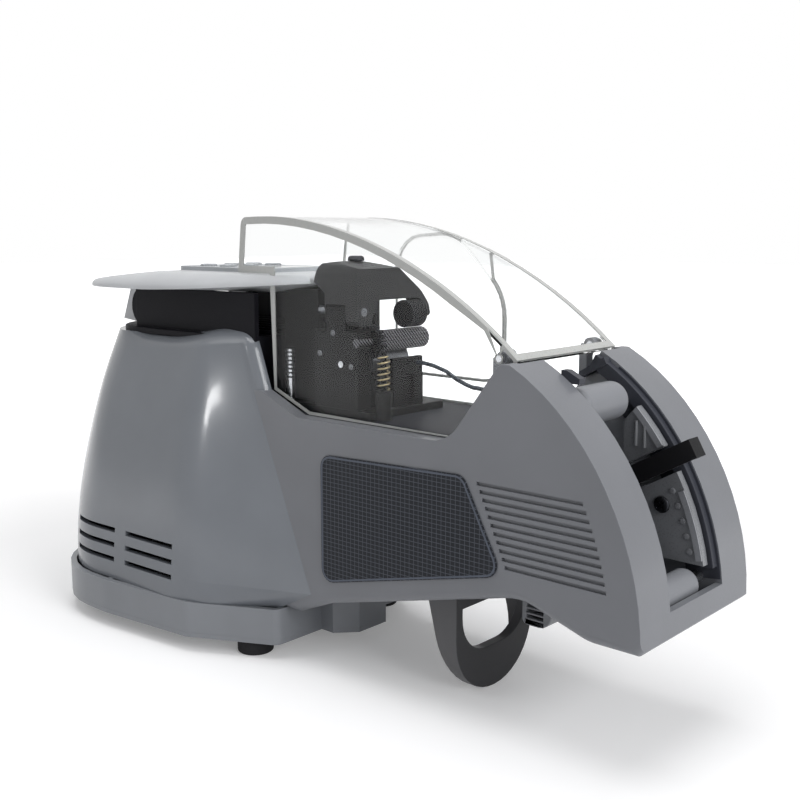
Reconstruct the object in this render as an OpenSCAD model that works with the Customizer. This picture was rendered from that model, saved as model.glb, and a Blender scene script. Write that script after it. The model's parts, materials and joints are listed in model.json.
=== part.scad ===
// Electric tape dispenser: a rounded pedestal, a cantilever arm with a roll bay in its nose,
// a clear hinged cover over the feeding and cutting head, and a console with push buttons.
// Millimetres. X runs to the nose, Y to the far side, Z up, origin on the table under the centre.

/* [Overall] */
// Length from the nose to the back of the plinth
overall_l = 366; // [360:1:380]
// Thickness of the moulded walls
wall = 3; // [2.4:0.1:3.4]
// Gap between pieces that pass each other
run_gap = 0.4; // [0.3:0.05:0.5]
// Radial clearance of a shaft in its bore
shaft_gap = 0.05; // [0.03:0.01:0.08]

/* [Feet and plinth] */
// Height of the rubber feet
foot_h = 8; // [6:0.5:10]
// Radius of a rubber foot
foot_r = 9; // [7:0.5:10]
// Width of the plinth
plinth_w = 157; // [152:1:162]
// Height of the plinth
plinth_h = 18; // [16:0.5:22]
// Corner radius at the back of the plinth
plinth_r = 55; // [45:1:60]
// Width of the plinth's front
front_w = 98; // [97:1:102]
// Width of the tongue under the arm
tongue_w = 39; // [34:1:44]
// Thickness of the base plate
base_t = 2.5; // [2:0.1:3]

/* [Pedestal] */
// Length of the pedestal at the plinth
pedestal_l = 198; // [194:1:202]
// Height of the pedestal over the plinth
rim_h = 130; // [126:1:134]
// Width of the pedestal at its rim
rim_w = 100; // [97:1:104]
// How far the rim stands in from the back
rim_set = 22; // [18:1:26]
// Length of a vent slot
vent_l = 38; // [30:1:40]
// Height of a vent slot
vent_h = 2.6; // [1.8:0.1:3]
// Spacing of the vent slots
vent_pitch = 7.7; // [6:0.1:9]

/* [Arm] */
// Width of the arm
arm_w = 90; // [88:1:94]
// Width of the roll bay between the cheeks
bay_w = 44; // [42:1:46]
// Thickness of the cheek walls along the bay
cheek_t = 2.5; // [2:0.1:3]
// Height of the head deck over the plinth
deck_h = 95; // [93:0.5:97]
// Height of the crown over the plinth
crown_h = 129.5; // [128:0.5:131]
// Height of the nose's underside over the plinth
nose_h = 26.5; // [24:0.5:29]
// Length of the arch from the crown to the nose
arch_run = 60; // [58:0.5:62]
// Number of grip grooves on a side
groove_n = 11; // [8:1:12]
// Spacing of the grip grooves
groove_pitch = 3.2; // [3:0.05:3.4]
// Height of a grip groove
groove_h = 1.6; // [1:0.1:2]
// Depth of a grip groove
groove_d = 1.2; // [0.6:0.1:1.6]
// Thickness of the label plate
label_t = 0.8; // [0.5:0.1:1.2]

/* [Clear cover] */
// Width of the clear cover
cover_w = 74; // [72:0.5:75]
// Thickness of the clear cover
cover_t = 2.5; // [2:0.1:3]
// Height of the clear cover over the deck
cover_h = 92; // [90:0.5:96]
// Radius of the cover's hinge pins
cover_pin_r = 1.5; // [1.2:0.1:2]

/* [Console] */
// Height of the tape mouth under the console
neck_h = 21; // [19:0.5:23]
// Width of the console
console_w = 114; // [110:1:118]
// Length of the console's wing
console_l = 150; // [144:1:150]
// Thickness of the console
console_t = 9; // [8.5:0.25:10]
// Length of the raised panel
panel_l = 74; // [72:1:80]
// Width of the raised panel
panel_w = 54; // [52:1:60]
// Thickness of the raised panel
panel_t = 2; // [1.8:0.1:2.4]
// Radius of a push button
button_r = 4.5; // [4:0.1:5]
// Spacing of the push buttons
button_pitch = 16; // [14:0.5:17]
// Height of a push button over the panel
button_h = 1.2; // [1:0.1:2]
// Travel of a push button
button_travel = 1; // [0.6:0.1:1.2]

/* [Roll bay] */
// Radius of the top guide roller
top_roller_r = 8; // [7:0.5:8.5]
// Radius of the bottom guide roller
low_roller_r = 6.5; // [6:0.25:7]
// Radius of the guide rollers' shafts
roller_shaft_r = 2.5; // [2:0.1:3]
// Thickness of the guide plates
plate_t = 4; // [3:0.25:4.5]
// Thickness of the bay lever across its width
lever_t = 4.5; // [3.5:0.25:5]
// Height of the bay lever's bar
lever_h = 8; // [6:0.5:9]
// How far the bay lever stands out of the arch
lever_out = 9; // [6:0.5:12]

/* [Feeding and cutting head] */
// Radius of the knurled feed roller
feed_r = 5; // [4.6:0.1:5.2]
// Radius of the pressure roller
press_r = 6.5; // [6:0.1:7]
// Width of the tape path through the head
tape_w = 35; // [34:0.5:36]
// Height of the tape line over the deck
tape_h = 40; // [39:0.5:41]
// Length of the press arm along the tape
claw_l = 28; // [26:0.5:29]
// Module of the feed gears
gear_m = 0.8; // [0.78:0.01:0.82]
// Thickness of the feed gears
gear_t = 3; // [2.5:0.25:3.5]
// Thickness of the cutter blade
blade_t = 1.2; // [0.8:0.1:1.6]
// Radius of the head's coil spring, to the middle of its wire
spring_r = 2.6; // [2.5:0.1:3]
// Radius of the spring wire
spring_wire = 0.45; // [0.4:0.05:0.5]
// Turns of the coil spring
spring_turns = 6; // [5:1:7]
// Radius of the head's cable
cable_r = 1; // [0.8:0.1:1.2]

/* [Leg] */
// Width of the front leg
leg_w = 57; // [54:1:60]
// Width of the leg's rim
leg_band = 3.5; // [3:0.5:5]
// Thickness of the leg under the arm
leg_top_t = 17; // [14:0.5:18]
// Thickness of the leg at the table
leg_foot_t = 5; // [4:0.5:7]

/* [Hidden] */
$fn = 48;
over = 1;
rear_x = -overall_l / 2;
nose_x = overall_l / 2;
plinth_top = foot_h + plinth_h;
rim_z = plinth_top + rim_h;
deck_z = plinth_top + deck_h;
crown_z = plinth_top + crown_h;
nose_z = plinth_top + nose_h;
console_z = rim_z + neck_h;
console_top = console_z + console_t;
cover_top = deck_z + cover_h;

// Colours as the object shows them
shell_grey = [0.43, 0.44, 0.46];
pale_grey = [0.62, 0.63, 0.65];
dark_grey = [0.24, 0.25, 0.27];
black = [0.1, 0.1, 0.11];
steel = [0.7, 0.71, 0.73];
brass = [0.72, 0.6, 0.34];
clear = [0.85, 0.9, 0.92, 0.35];
board_green = [0.1, 0.35, 0.2];

// Crease where the pedestal meets the arm
crease_x0 = rear_x + pedestal_l;
crease_lean = 0.4075;
crease_foot_z = plinth_top + 11.3;
crease_toe_x = crease_x0 - 26;
function crease_line(z) = crease_x0 - crease_lean * (z - plinth_top);
// Below its foot the crease runs back to the plinth's front
function crease_x(z) = z >= crease_foot_z ? crease_line(z) :
    mix(crease_toe_x, crease_line(crease_foot_z), (z - plinth_top) / (crease_foot_z - plinth_top));

// Roll bay
crown_x = nose_x - arch_run;
bay_x0 = crown_x - 27;
nose_bar_z = nose_z + 12;
saddle_x = crown_x - 31;
saddle_step = 6;
shoulder_w = cover_w + 3;

// Outline tools

function unit(v) = v / norm(v);
function mix(a, b, t) = a + (b - a) * t;
function xy(p) = [p[0], p[1]];

// Arc of n steps that rounds the corner p between its neighbours a and b
function corner_arc(a, p, b, r, n) =
    let (u = unit(a - p), v = unit(b - p),
         half = acos(max(-1, min(1, u * v))) / 2,
         c = p + unit(u + v) * r / sin(half),
         s = p + u * r / tan(half) - c,
         turn = (u[0] * v[1] - u[1] * v[0] > 0 ? -1 : 1) * (180 - 2 * half),
         start = atan2(s[1], s[0]))
    [for (i = [0 : n]) c + r * [cos(start + turn * i / n), sin(start + turn * i / n)]];

// Closed outline from corners [x, y, radius]
function rounded(corners, n = 5) =
    let (m = len(corners))
    [for (i = [0 : m - 1])
        each corners[i][2] == 0 ? [xy(corners[i])] :
            corner_arc(xy(corners[(i + m - 1) % m]), xy(corners[i]), xy(corners[(i + 1) % m]),
                       corners[i][2], n)];

// Outline moved inwards by d, for points that run counter-clockwise
function inset(points, d) =
    let (m = len(points))
    [for (i = [0 : m - 1])
        let (p = points[i],
             e = unit(p - points[(i + m - 1) % m]),
             f = unit(points[(i + 1) % m] - p),
             g = [-e[1], e[0]],
             h = [-f[1], f[0]])
        p + d * (g + h) / (1 + g * h)];

function bezier(a, b, c, d, n) =
    [for (i = [0 : n])
        let (t = i / n, s = 1 - t)
        s * s * s * a + 3 * s * s * t * b + 3 * s * t * t * c + t * t * t * d];

// Open curve moved to its left by d
function beside(curve, d) =
    [for (i = [0 : len(curve) - 1])
        let (t = unit(curve[min(len(curve) - 1, i + 1)] - curve[max(0, i - 1)]))
        curve[i] + d * [-t[1], t[0]]];

function reversed(list) = [for (i = [len(list) - 1 : -1 : 0]) list[i]];
function corners_of(points) = [for (p = points) [p[0], p[1], 0]];
function mirrored(corners) = [for (c = reversed(corners)) [c[0], -c[1], c[2]]];

// Solid from an outline in the X-Z plane, between two Y values
module prism(points, y0, y1)
    translate([0, y1, 0]) rotate([90, 0, 0]) linear_extrude(y1 - y0) polygon(points);

// Solid from an outline in the Y-Z plane, between two X values
module bar(points, x0, x1)
    translate([x0, 0, 0]) rotate([90, 0, 90]) linear_extrude(x1 - x0) polygon(points);

module box(low, high) translate(low) cube(high - low);

// Round rod along Y
module rod(x, z, y0, y1, r)
    translate([x, y1, z]) rotate([90, 0, 0]) cylinder(r = r, h = y1 - y0);

module both_sides() {
    children();
    mirror([0, 1, 0]) children();
}

// Skin between rows of points, each row an open run of outer points and its inner twin
module open_shell(outer, inner) {
    rows = len(outer);
    n = len(outer[0]);
    points = concat([for (row = outer) each row], [for (row = inner) each row]);
    at_inner = rows * n;
    function quad(a, b, c, d) = [[a, c, b], [a, d, c]];
    faces = concat(
        [for (i = [0 : rows - 2], j = [0 : n - 2])
            each quad(i * n + j, i * n + j + 1, (i + 1) * n + j + 1, (i + 1) * n + j)],
        [for (i = [0 : rows - 2], j = [0 : n - 2])
            each quad(at_inner + i * n + j + 1, at_inner + i * n + j,
                      at_inner + (i + 1) * n + j, at_inner + (i + 1) * n + j + 1)],
        [for (j = [0 : n - 2]) each quad(j + 1, j, at_inner + j, at_inner + j + 1)],
        [for (j = [0 : n - 2])
            let (k = (rows - 1) * n + j)
            each quad(k, k + 1, at_inner + k + 1, at_inner + k)],
        [for (i = [0 : rows - 2]) each quad(i * n, (i + 1) * n, at_inner + (i + 1) * n, at_inner + i * n)],
        [for (i = [0 : rows - 2])
            let (k = i * n + n - 1)
            each quad(k + n, k, at_inner + k, at_inner + k + n)]);
    polyhedron(points, faces);
}

// Round tube through the given points, with flat ends
module tube(path, r, sides) {
    n = len(path);
    function along(i) = unit(path[min(n - 1, i + 1)] - path[max(0, i - 1)]);
    function ring(i) =
        let (t = along(i),
             side = unit(cross(t, abs(t[2]) > 0.9 ? [1, 0, 0] : [0, 0, 1])),
             up = cross(side, t))
        [for (k = [0 : sides - 1])
            path[i] + r * (side * cos(360 * k / sides) + up * sin(360 * k / sides))];
    points = [for (i = [0 : n - 1]) each ring(i)];
    faces = concat(
        [[for (k = [sides - 1 : -1 : 0]) k]],
        [for (i = [0 : n - 2], k = [0 : sides - 1])
            let (a = i * sides + k, b = i * sides + (k + 1) % sides)
            each [[a, b + sides, a + sides], [a, b, b + sides]]],
        [[for (k = [0 : sides - 1]) (n - 1) * sides + k]]);
    polyhedron(points, faces);
}

// Feet, plinth and pedestal

tongue_x = crease_x0 - 7;
plinth_front = crease_x0 - 24;
function plinth_half() = [
    [tongue_x, -tongue_w / 4, 0],
    [tongue_x - 9, -tongue_w / 2, 0],
    [plinth_front, -tongue_w / 2, 0],
    [plinth_front, -front_w / 2, 5],
    [plinth_front - 43, -plinth_w / 2 + 7, 15],
    [plinth_front - 103, -plinth_w / 2, 60],
    [rear_x, -plinth_w / 2, plinth_r]];
plinth_outline = rounded(concat(mirrored(plinth_half()), plinth_half()), 8);
plinth_inner = inset(reversed(plinth_outline), wall);

foot_front_x = plinth_front - 20;
foot_back_x = rear_x + 42;
foot_front_y = front_w / 2 - 3;
foot_back_y = plinth_w / 2 - 28;
foot_places = [[foot_front_x, foot_front_y], [foot_back_x, foot_back_y]];
foot_spigot_r = 3;
screw_r = 1.5;
screw_head_r = 3;
screw_head_t = 1.2;
screw_inset = 22;
screw_places = [[plinth_front - 20, foot_front_y - screw_inset], [foot_back_x + 30, plinth_w / 2 - 16]];

module feet() color(black) both_sides() for (p = foot_places) {
    translate([p[0], p[1], 0]) cylinder(r = foot_r, h = foot_h);
    translate([p[0], p[1], 0]) cylinder(r = foot_spigot_r, h = foot_h + base_t);
}

module base_plate() color(dark_grey) difference() {
    translate([0, 0, foot_h]) linear_extrude(base_t) polygon(plinth_outline);
    both_sides() for (p = foot_places)
        translate([p[0], p[1], foot_h - over]) cylinder(r = foot_spigot_r, h = base_t + 2 * over);
    both_sides() for (p = screw_places) {
        translate([p[0], p[1], foot_h - over]) cylinder(r = screw_r, h = base_t + 2 * over);
        translate([p[0], p[1], foot_h - over]) cylinder(r = screw_head_r, h = screw_head_t + over);
    }
}

screw_post_r = 4;
module base_screws() color(steel) both_sides() for (p = screw_places) {
    translate([p[0], p[1], foot_h]) cylinder(r = screw_head_r, h = screw_head_t);
    translate([p[0], p[1], foot_h]) cylinder(r = screw_r, h = base_t + plinth_h / 2);
}

switch_y = front_w / 2 - 8;
switch_w = 13;
switch_h = 9;
inlet_y = tongue_w / 2 + 7.5;
inlet_r = 5;
panel_mid_z = foot_h + base_t + (plinth_h - base_t) / 2;

module plinth() color(shell_grey) difference() {
    union() {
        difference() {
            translate([0, 0, foot_h + base_t]) linear_extrude(plinth_h - base_t) polygon(plinth_outline);
            translate([0, 0, foot_h]) linear_extrude(plinth_h + over) polygon(plinth_inner);
        }
        both_sides() for (p = screw_places)
            translate([p[0], p[1], foot_h + base_t]) cylinder(r = screw_post_r, h = plinth_h - base_t);
        both_sides() for (p = screw_places)
            box([p[0] - wall / 2, p[1], foot_h + base_t], [p[0] + wall / 2, plinth_reach(p), plinth_top]);
    }
    both_sides() for (p = screw_places)
        translate([p[0], p[1], foot_h]) cylinder(r = screw_r, h = base_t + plinth_h / 2);
    rod_x(inlet_y, panel_mid_z, plinth_front - 2 * wall, plinth_front + over, inlet_r);
    box([plinth_front - 2 * wall, switch_y - switch_w / 2, panel_mid_z - switch_h / 2],
        [plinth_front + over, switch_y + switch_w / 2, panel_mid_z + switch_h / 2]);
}

// Far enough in Y for a rib to end inside the plinth's wall
function plinth_reach(p) =
    p[0] > plinth_front - 43 ? mix(front_w / 2, plinth_w / 2 - 7, (plinth_front - p[0]) / 43) - wall / 2 :
    plinth_w / 2 - wall / 2;

// Round rod along X
module rod_x(y, z, x0, x1, r)
    translate([x0, y, z]) rotate([0, 90, 0]) cylinder(r = r, h = x1 - x0);

pedestal_rows = 10;
pedestal_back = rear_x + 2;
pedestal_w0 = plinth_w - 3;
// Half outline of the pedestal at height z, thinned by t
function pedestal_run(z, t) =
    let (u = (z - plinth_top) / rim_h,
         e = pow(u, 1.6),
         half = mix(pedestal_w0, rim_w, e) / 2 - t,
         back = pedestal_back + rim_set * e + t,
         r = mix(plinth_r, plinth_r - 15, u) - t,
         side_x = mix(crease_x0 - 65, crease_x0 - 75.6, u),
         side_y = half - mix(5, 1, u),
         corners = [[crease_x(z), arm_w / 2 - t, 0], [side_x, side_y, mix(70, 40, u)], [back, half, r]],
         all = rounded(concat(corners, mirrored(corners)), 7))
    [for (p = all) [p[0], p[1], z]];

vent_front = crease_x0 - 76.5;
vent_gap = 9;
vent_z = plinth_top + 9.2;
vent_rows = 3;
module pedestal_shell() color(shell_grey) difference() {
    heights = concat([plinth_top],
        [for (i = [0 : pedestal_rows]) mix(crease_foot_z, rim_z, i / pedestal_rows)]);
    open_shell([for (z = heights) pedestal_run(z, 0)], [for (z = heights) pedestal_run(z, wall)]);
    both_sides() for (i = [0 : vent_rows - 1], j = [0 : 1])
        translate([vent_front - vent_l - j * (vent_l + vent_gap), rim_w / 2, vent_z + i * vent_pitch])
            cube([vent_l, plinth_w / 2, vent_h]);
}

// Arm

function arch_points(n) =
    bezier([nose_x, nose_z + 2], [nose_x, nose_z + 42], [crown_x + 37, crown_z - 19], [crown_x, crown_z], n);
function arm_corners(shift, toe) = concat(
    toe ? [[crease_toe_x, plinth_top, 0], [crease_x0 - 14.5, plinth_top, 0]] : [],
    [[crease_x0 + 6, plinth_top + 8.7, toe ? 8 : 0],
     [nose_x - 55, nose_z + 10, 25],
     [nose_x - 23, nose_z, 20],
     [nose_x - 2, nose_z, 0]],
    corners_of(arch_points(14)),
    shift > 0 ? [] : [[saddle_x + 26, crown_z, 4]],
    [[saddle_x + shift, deck_z, 18],
     [crease_x(deck_z), deck_z, 0],
     [crease_x(crease_foot_z), crease_foot_z, 0]]);
arm_outline = rounded(arm_corners(0, true));
deck_outline = rounded(arm_corners(saddle_step, true));
// Hollow of the arm, which stays out of the solid toe on the plinth
arm_core = inset(rounded(arm_corners(0, false)), wall);
deck_core = inset(rounded(arm_corners(saddle_step, false)), wall);

top_roller_x = crown_x + 13;
top_roller_z = crown_z - 18.5;
low_roller_x = nose_x - 11;
low_roller_z = nose_bar_z + 1;
rear_roller_x = bay_x0 + 24;
rear_roller_z = nose_z + 21.5;
hinge_x = crown_x - 11.3;
hinge_z = crown_z + 0.8;
hinge_ear_r = 2.8;
hinge_ear_t = 5;
hinge_stem_t = 4;
ear_y = cover_w / 2 - cover_t - run_gap;
cable_end_y = -(bay_w / 2 + 5);
cable_hole_x = saddle_x + saddle_step + 11;
cable_hole_z = deck_z + 15;

groove_z0 = nose_z + 22;
groove_x0 = nose_x - 61;
groove_slant = 0.45;
groove_margin = 13;
// Ramp on each shoulder, beside the rear foot of the cover
ramp_x0 = crease_x0 - 36.6;
ramp_x1 = crease_x0 - 12.6;
ramp_h = 10;
ramp_outline = [
    [crease_x(deck_z - wall / 2), deck_z - wall / 2], [ramp_x1, deck_z - wall / 2], [ramp_x1, deck_z],
    [ramp_x0, deck_z + ramp_h], [crease_x(deck_z + ramp_h), deck_z + ramp_h], [crease_x(deck_z), deck_z]];

// X of the arch at height z
function arch_x(z) = lookup(z, [for (p = arch_points(28)) [p[1], p[0]]]);

module arm_half() difference() {
    union() {
        difference() {
            prism(arm_outline, -arm_w / 2, -shoulder_w / 2);
            prism(arm_core, -arm_w / 2 + wall, -shoulder_w / 2 + over);
        }
        difference() {
            prism(deck_outline, -shoulder_w / 2, 0);
            prism(deck_core, -shoulder_w / 2 - over, over);
        }
        // Wall that closes the shoulder's step
        difference() {
            prism(arm_outline, -shoulder_w / 2 - wall, -shoulder_w / 2);
            prism(deck_core, -shoulder_w / 2 - wall - over, -shoulder_w / 2 + over);
        }
        // Cheek wall along the bay
        intersection() {
            prism(deck_outline, -bay_w / 2 - cheek_t, -bay_w / 2);
            box([bay_x0, -arm_w, 0], [nose_x + over, 0, crown_z + over]);
        }
        prism(ramp_outline, -arm_w / 2, -shoulder_w / 2);
        // Ear for the cover's hinge
        hinge_ear();
    }
    box([bay_x0, -bay_w / 2, nose_bar_z], [nose_x + over, over, crown_z + over]);
    rod(top_roller_x, top_roller_z, -bay_w / 2 - cheek_t - over, 0, roller_shaft_r);
    rod(low_roller_x, low_roller_z, -bay_w / 2 - cheek_t - over, 0, roller_shaft_r);
    rod(rear_roller_x, rear_roller_z, -bay_w / 2 - cheek_t - over, 0, roller_shaft_r);
    rod(hinge_x, hinge_z, -ear_y - over, -ear_y + hinge_ear_t + over, cover_pin_r);
    for (i = [0 : groove_n - 1])
        let (z = groove_z0 + i * groove_pitch, x0 = groove_x0 - groove_slant * i * groove_pitch)
        box([x0, -arm_w / 2 - over, z - groove_h / 2],
            [arch_x(z) - groove_margin, -arm_w / 2 + groove_d, z + groove_h / 2]);
}

module hinge_ear() {
    foot_z = deck_z + 8;
    stem_x1 = hinge_x - run_gap;
    rod(hinge_x, hinge_z, -ear_y, -ear_y + hinge_ear_t, hinge_ear_r);
    // The stem stays behind the pin, clear of the opened cover's edge
    difference() {
        box([stem_x1 - hinge_stem_t, -ear_y, foot_z], [stem_x1, -ear_y + hinge_ear_t, hinge_z]);
        prism(inset(deck_outline, wall / 2), -ear_y - over, -ear_y + hinge_ear_t + over);
    }
}

module arm_shell_near() color(shell_grey) difference() {
    arm_half();
    translate([cable_hole_x, cable_end_y, cable_hole_z - 2 * wall])
        cylinder(r = cable_r + shaft_gap, h = 4 * wall);
}

module arm_shell_far() color(shell_grey) difference() {
    mirror([0, 1, 0]) arm_half();
    rod(low_roller_x, low_roller_z, bay_w / 2, arm_w / 2 + over, roller_shaft_r);
}

label_outline = rounded([
    [crease_x0 + 3.5, deck_z - 76, 6], [groove_x0 - 0.5, deck_z - 50.5, 6],
    [groove_x0 - 21, deck_z - 12, 6], [crease_x0 + 3.5, deck_z - 15, 6]]);
module label_plate() color(black) prism(label_outline, -arm_w / 2 - label_t, -arm_w / 2);

// Roll bay

bay_back_z = nose_z + 6;
module bay_liner() color(black) intersection() {
    prism(deck_core, -bay_w / 2, bay_w / 2);
    box([bay_x0 - wall, -bay_w / 2, bay_back_z], [bay_x0, bay_w / 2, deck_z]);
}

trim_w = 6;
trim_t = 4;
trim_set = 1.5;
bay_arch = [for (p = arch_points(28)) if (p[1] > nose_bar_z + 4) p];
trim_outline = concat(beside(bay_arch, trim_set), reversed(beside(bay_arch, trim_set + trim_w)));
module bay_trim() color(dark_grey) difference() {
    prism(trim_outline, bay_w / 2 - trim_t, bay_w / 2);
    rod(low_roller_x, low_roller_z, 0, arm_w, roller_shaft_r);
    rod(top_roller_x, top_roller_z, 0, arm_w, roller_shaft_r);
}

plate_set = 3;
plate_y = bay_w / 2 - trim_t - 1 - plate_t;
plate_arch = inset(arm_outline, plate_set);
plate_gap = 6.5;
plate_low_z = low_roller_z + low_roller_r + 1;
plate_x0 = bay_x0 + 44;
stand_r = 3.5;
screw_x = nose_x - 24;
screw_z = nose_z + 43;
pan_r = 3.5;
pan_t = 1.6;
lever_pin_r = 3;
lever_x = bay_x0 + 9;
lever_z = nose_z + 30;
lever_angle = 29.6;
// Height of the lever's middle at x
function lever_line(x) = lever_z + (x - lever_x) * tan(lever_angle);

plate_top = crown_z - 19;
lower_x0 = plate_x0 + 3;
upper_stand = [plate_x0 + 6, lever_line(plate_x0 + 6) + plate_gap + 6];
upper_outline = [
    [plate_x0, lever_line(plate_x0) + plate_gap], [nose_x, lever_line(nose_x) + plate_gap],
    [nose_x, plate_top], [plate_x0 + 7, plate_top], [plate_x0, plate_top - 8]];
lower_outline = [
    [lower_x0, plate_low_z], [nose_x, plate_low_z],
    [nose_x, lever_line(nose_x) - plate_gap], [lower_x0, lever_line(lower_x0) - plate_gap]];

// Plate behind the arch, held off the far cheek by a stand
module guide_plate(region, stand) {
    intersection() {
        prism(plate_arch, plate_y, plate_y + plate_t);
        prism(region, 0, arm_w);
    }
    rod(stand[0], stand[1], plate_y + plate_t, bay_w / 2, stand_r);
}

module upper_guide_plate() color(dark_grey) guide_plate(upper_outline, upper_stand);

module lower_guide_plate() color(dark_grey) difference() {
    guide_plate(lower_outline, [screw_x, screw_z]);
    rod(screw_x, screw_z, 0, bay_w / 2 + over, screw_r);
}

module plate_screw() color(steel) {
    rod(screw_x, screw_z, plate_y - pan_t, plate_y, pan_r);
    rod(screw_x, screw_z, plate_y - pan_t, bay_w / 2, screw_r);
}

lever_y = plate_y - pan_t - run_gap - lever_t;
lever_hub_r = 6;
lever_tab_t = 4;
lever_tab_w = 8;
lever_reach = 71 + lever_out;

module lever_pin() color(steel) {
    rod(lever_x, lever_z, lever_y - 2, bay_w / 2, lever_pin_r);
    rod(lever_x, lever_z, lever_y + lever_t + run_gap, bay_w / 2, lever_pin_r + 2);
}

module bay_lever() color(black) difference() {
    union() {
        rod(lever_x, lever_z, lever_y, lever_y + lever_t, lever_hub_r);
        translate([lever_x, lever_y, lever_z]) rotate([0, -lever_angle, 0]) {
            translate([0, 0, -lever_h / 2]) cube([lever_reach, lever_t, lever_h]);
            translate([lever_reach - lever_tab_t, 0, -lever_h / 2])
                cube([lever_tab_t, lever_tab_w, lever_h]);
        }
    }
    rod(lever_x, lever_z, lever_y - over, lever_y + lever_t + over, lever_pin_r + shaft_gap);
}

// Roller on a fixed shaft, with rounded shoulders
roller_nose = 3;
module guide_roller(x, z, r) color(pale_grey)
    translate([x, plate_y - roller_end_gap, z]) rotate([90, 0, 0]) rotate_extrude() polygon(rounded([
        [roller_shaft_r + shaft_gap, 0, 0], [r, 0, roller_nose],
        [r, roller_l, roller_nose], [roller_shaft_r + shaft_gap, roller_l, 0]]));

roller_end_gap = 1.5;
roller_l = bay_w / 2 + plate_y - 2 * roller_end_gap;
knob_r = 5;
knob_t = 2.5;

module top_guide_roller() guide_roller(top_roller_x, top_roller_z, top_roller_r);
module bottom_guide_roller() guide_roller(low_roller_x, low_roller_z, low_roller_r);
module rear_bay_roller() guide_roller(rear_roller_x, rear_roller_z, low_roller_r);

module roller_shafts() color(steel) {
    rod(top_roller_x, top_roller_z, -bay_w / 2 - cheek_t, bay_w / 2 + cheek_t, roller_shaft_r);
    rod(rear_roller_x, rear_roller_z, -bay_w / 2 - cheek_t, bay_w / 2 + cheek_t, roller_shaft_r);
    rod(low_roller_x, low_roller_z, -bay_w / 2 - cheek_t, arm_w / 2, roller_shaft_r);
    rod(low_roller_x, low_roller_z, arm_w / 2, arm_w / 2 + knob_t, knob_r);
}

// Clear cover

cover_front_x = crown_x - 2.2;
cover_front_z = crown_z + 0.8;
cover_back_x = crease_x0 - 61.6;
cover_step_x = ramp_x0 - 2;
cover_foot = deck_z + run_gap;
cover_rest = console_top + run_gap;
cover_curve = bezier([cover_front_x, cover_front_z], [cover_front_x - 37, cover_front_z + 33],
                     [cover_back_x + 70, cover_top + 3], [cover_back_x + 8, cover_top], 16);
pane_outline = rounded(concat(
    corners_of(cover_curve),
    [[cover_back_x + 3, cover_top, 4],
     [cover_back_x, cover_rest, 0],
     [cover_step_x, cover_rest, 0],
     [ramp_x0, deck_z + ramp_h, 0],
     [ramp_x1, cover_foot, 0],
     [saddle_x + saddle_step - 1, cover_foot, 18],
     [cover_front_x - 1.5, cover_front_z - 2.5, 0]]));
sheet_outline = concat(cover_curve, reversed(beside(cover_curve, cover_t)));

hatch = rounded([
    [cover_step_x + 16, deck_z + 14, 10], [saddle_x - 32, deck_z + 14, 10], [saddle_x - 32, deck_z + 54, 25],
    [saddle_x - 60, cover_top - 10, 25], [cover_step_x + 16, cover_top - 11, 15]]);

module clear_cover() color(clear) difference() {
    union() {
        both_sides() prism(pane_outline, -cover_w / 2, -cover_w / 2 + cover_t);
        prism(sheet_outline, -cover_w / 2, cover_w / 2);
    }
    prism(hatch, 0, cover_w);
    rod(hinge_x, hinge_z, -cover_w, cover_w, cover_pin_r + shaft_gap);
}

module cover_hinge_pins() color(steel)
    both_sides() rod(hinge_x, hinge_z, -cover_w / 2, -ear_y + hinge_ear_t, cover_pin_r);

// Neck and console

neck_back = pedestal_back + rim_set + 31;
neck_front = crease_x0 - 45.6;
neck_half = 41;
neck_rib_n = 7;
neck_rib = 2;
tray_outline = [for (p = pedestal_run(rim_z, wall)) xy(p)];

module neck_tray() color(black) {
    intersection() {
        translate([0, 0, rim_z - wall]) linear_extrude(wall) polygon(tray_outline);
        box([rear_x, -plinth_w, 0], [neck_front, plinth_w, rim_z]);
    }
    both_sides() box([neck_back, neck_half - wall, rim_z], [neck_front, neck_half, console_z]);
    box([neck_front - 12, -neck_half, rim_z - wall], [neck_front, neck_half, rim_z]);
    box([neck_front - wall, -neck_half, deck_z - 12], [neck_front, neck_half, rim_z - wall]);
    for (i = [0 : neck_rib_n - 1])
        translate([neck_back, (i - (neck_rib_n - 1) / 2) * 2 * (neck_half - 8) / neck_rib_n - neck_rib / 2, rim_z])
            cube([neck_front - neck_back, neck_rib, neck_rib]);
}

console_back = neck_front + 0.5 - console_l;
console_front = console_back + console_l;
console_r = 50;
console_tip = 1;
console_slope = 75;
console_tongue = 30;
console_tongue_w = 64;
panel_x1 = console_front - 10;
panel_x0 = panel_x1 - panel_l;
panel_z = console_top + panel_t;
pocket_floor = 2.5;
pocket_rim = 3;
console_half = [
    [console_front, console_w / 2 - 18, 6], [console_front - 28, console_w / 2 - 3, 25],
    [console_front - 78, console_w / 2, 60], [console_back, console_w / 2, console_r]];
console_outline = rounded(concat(console_half, mirrored(console_half)), 8);
console_side = [
    [console_back, console_z], [console_front, console_z], [console_front, console_top],
    [console_back + console_slope, console_top], [console_back, console_z + console_tip]];

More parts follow.
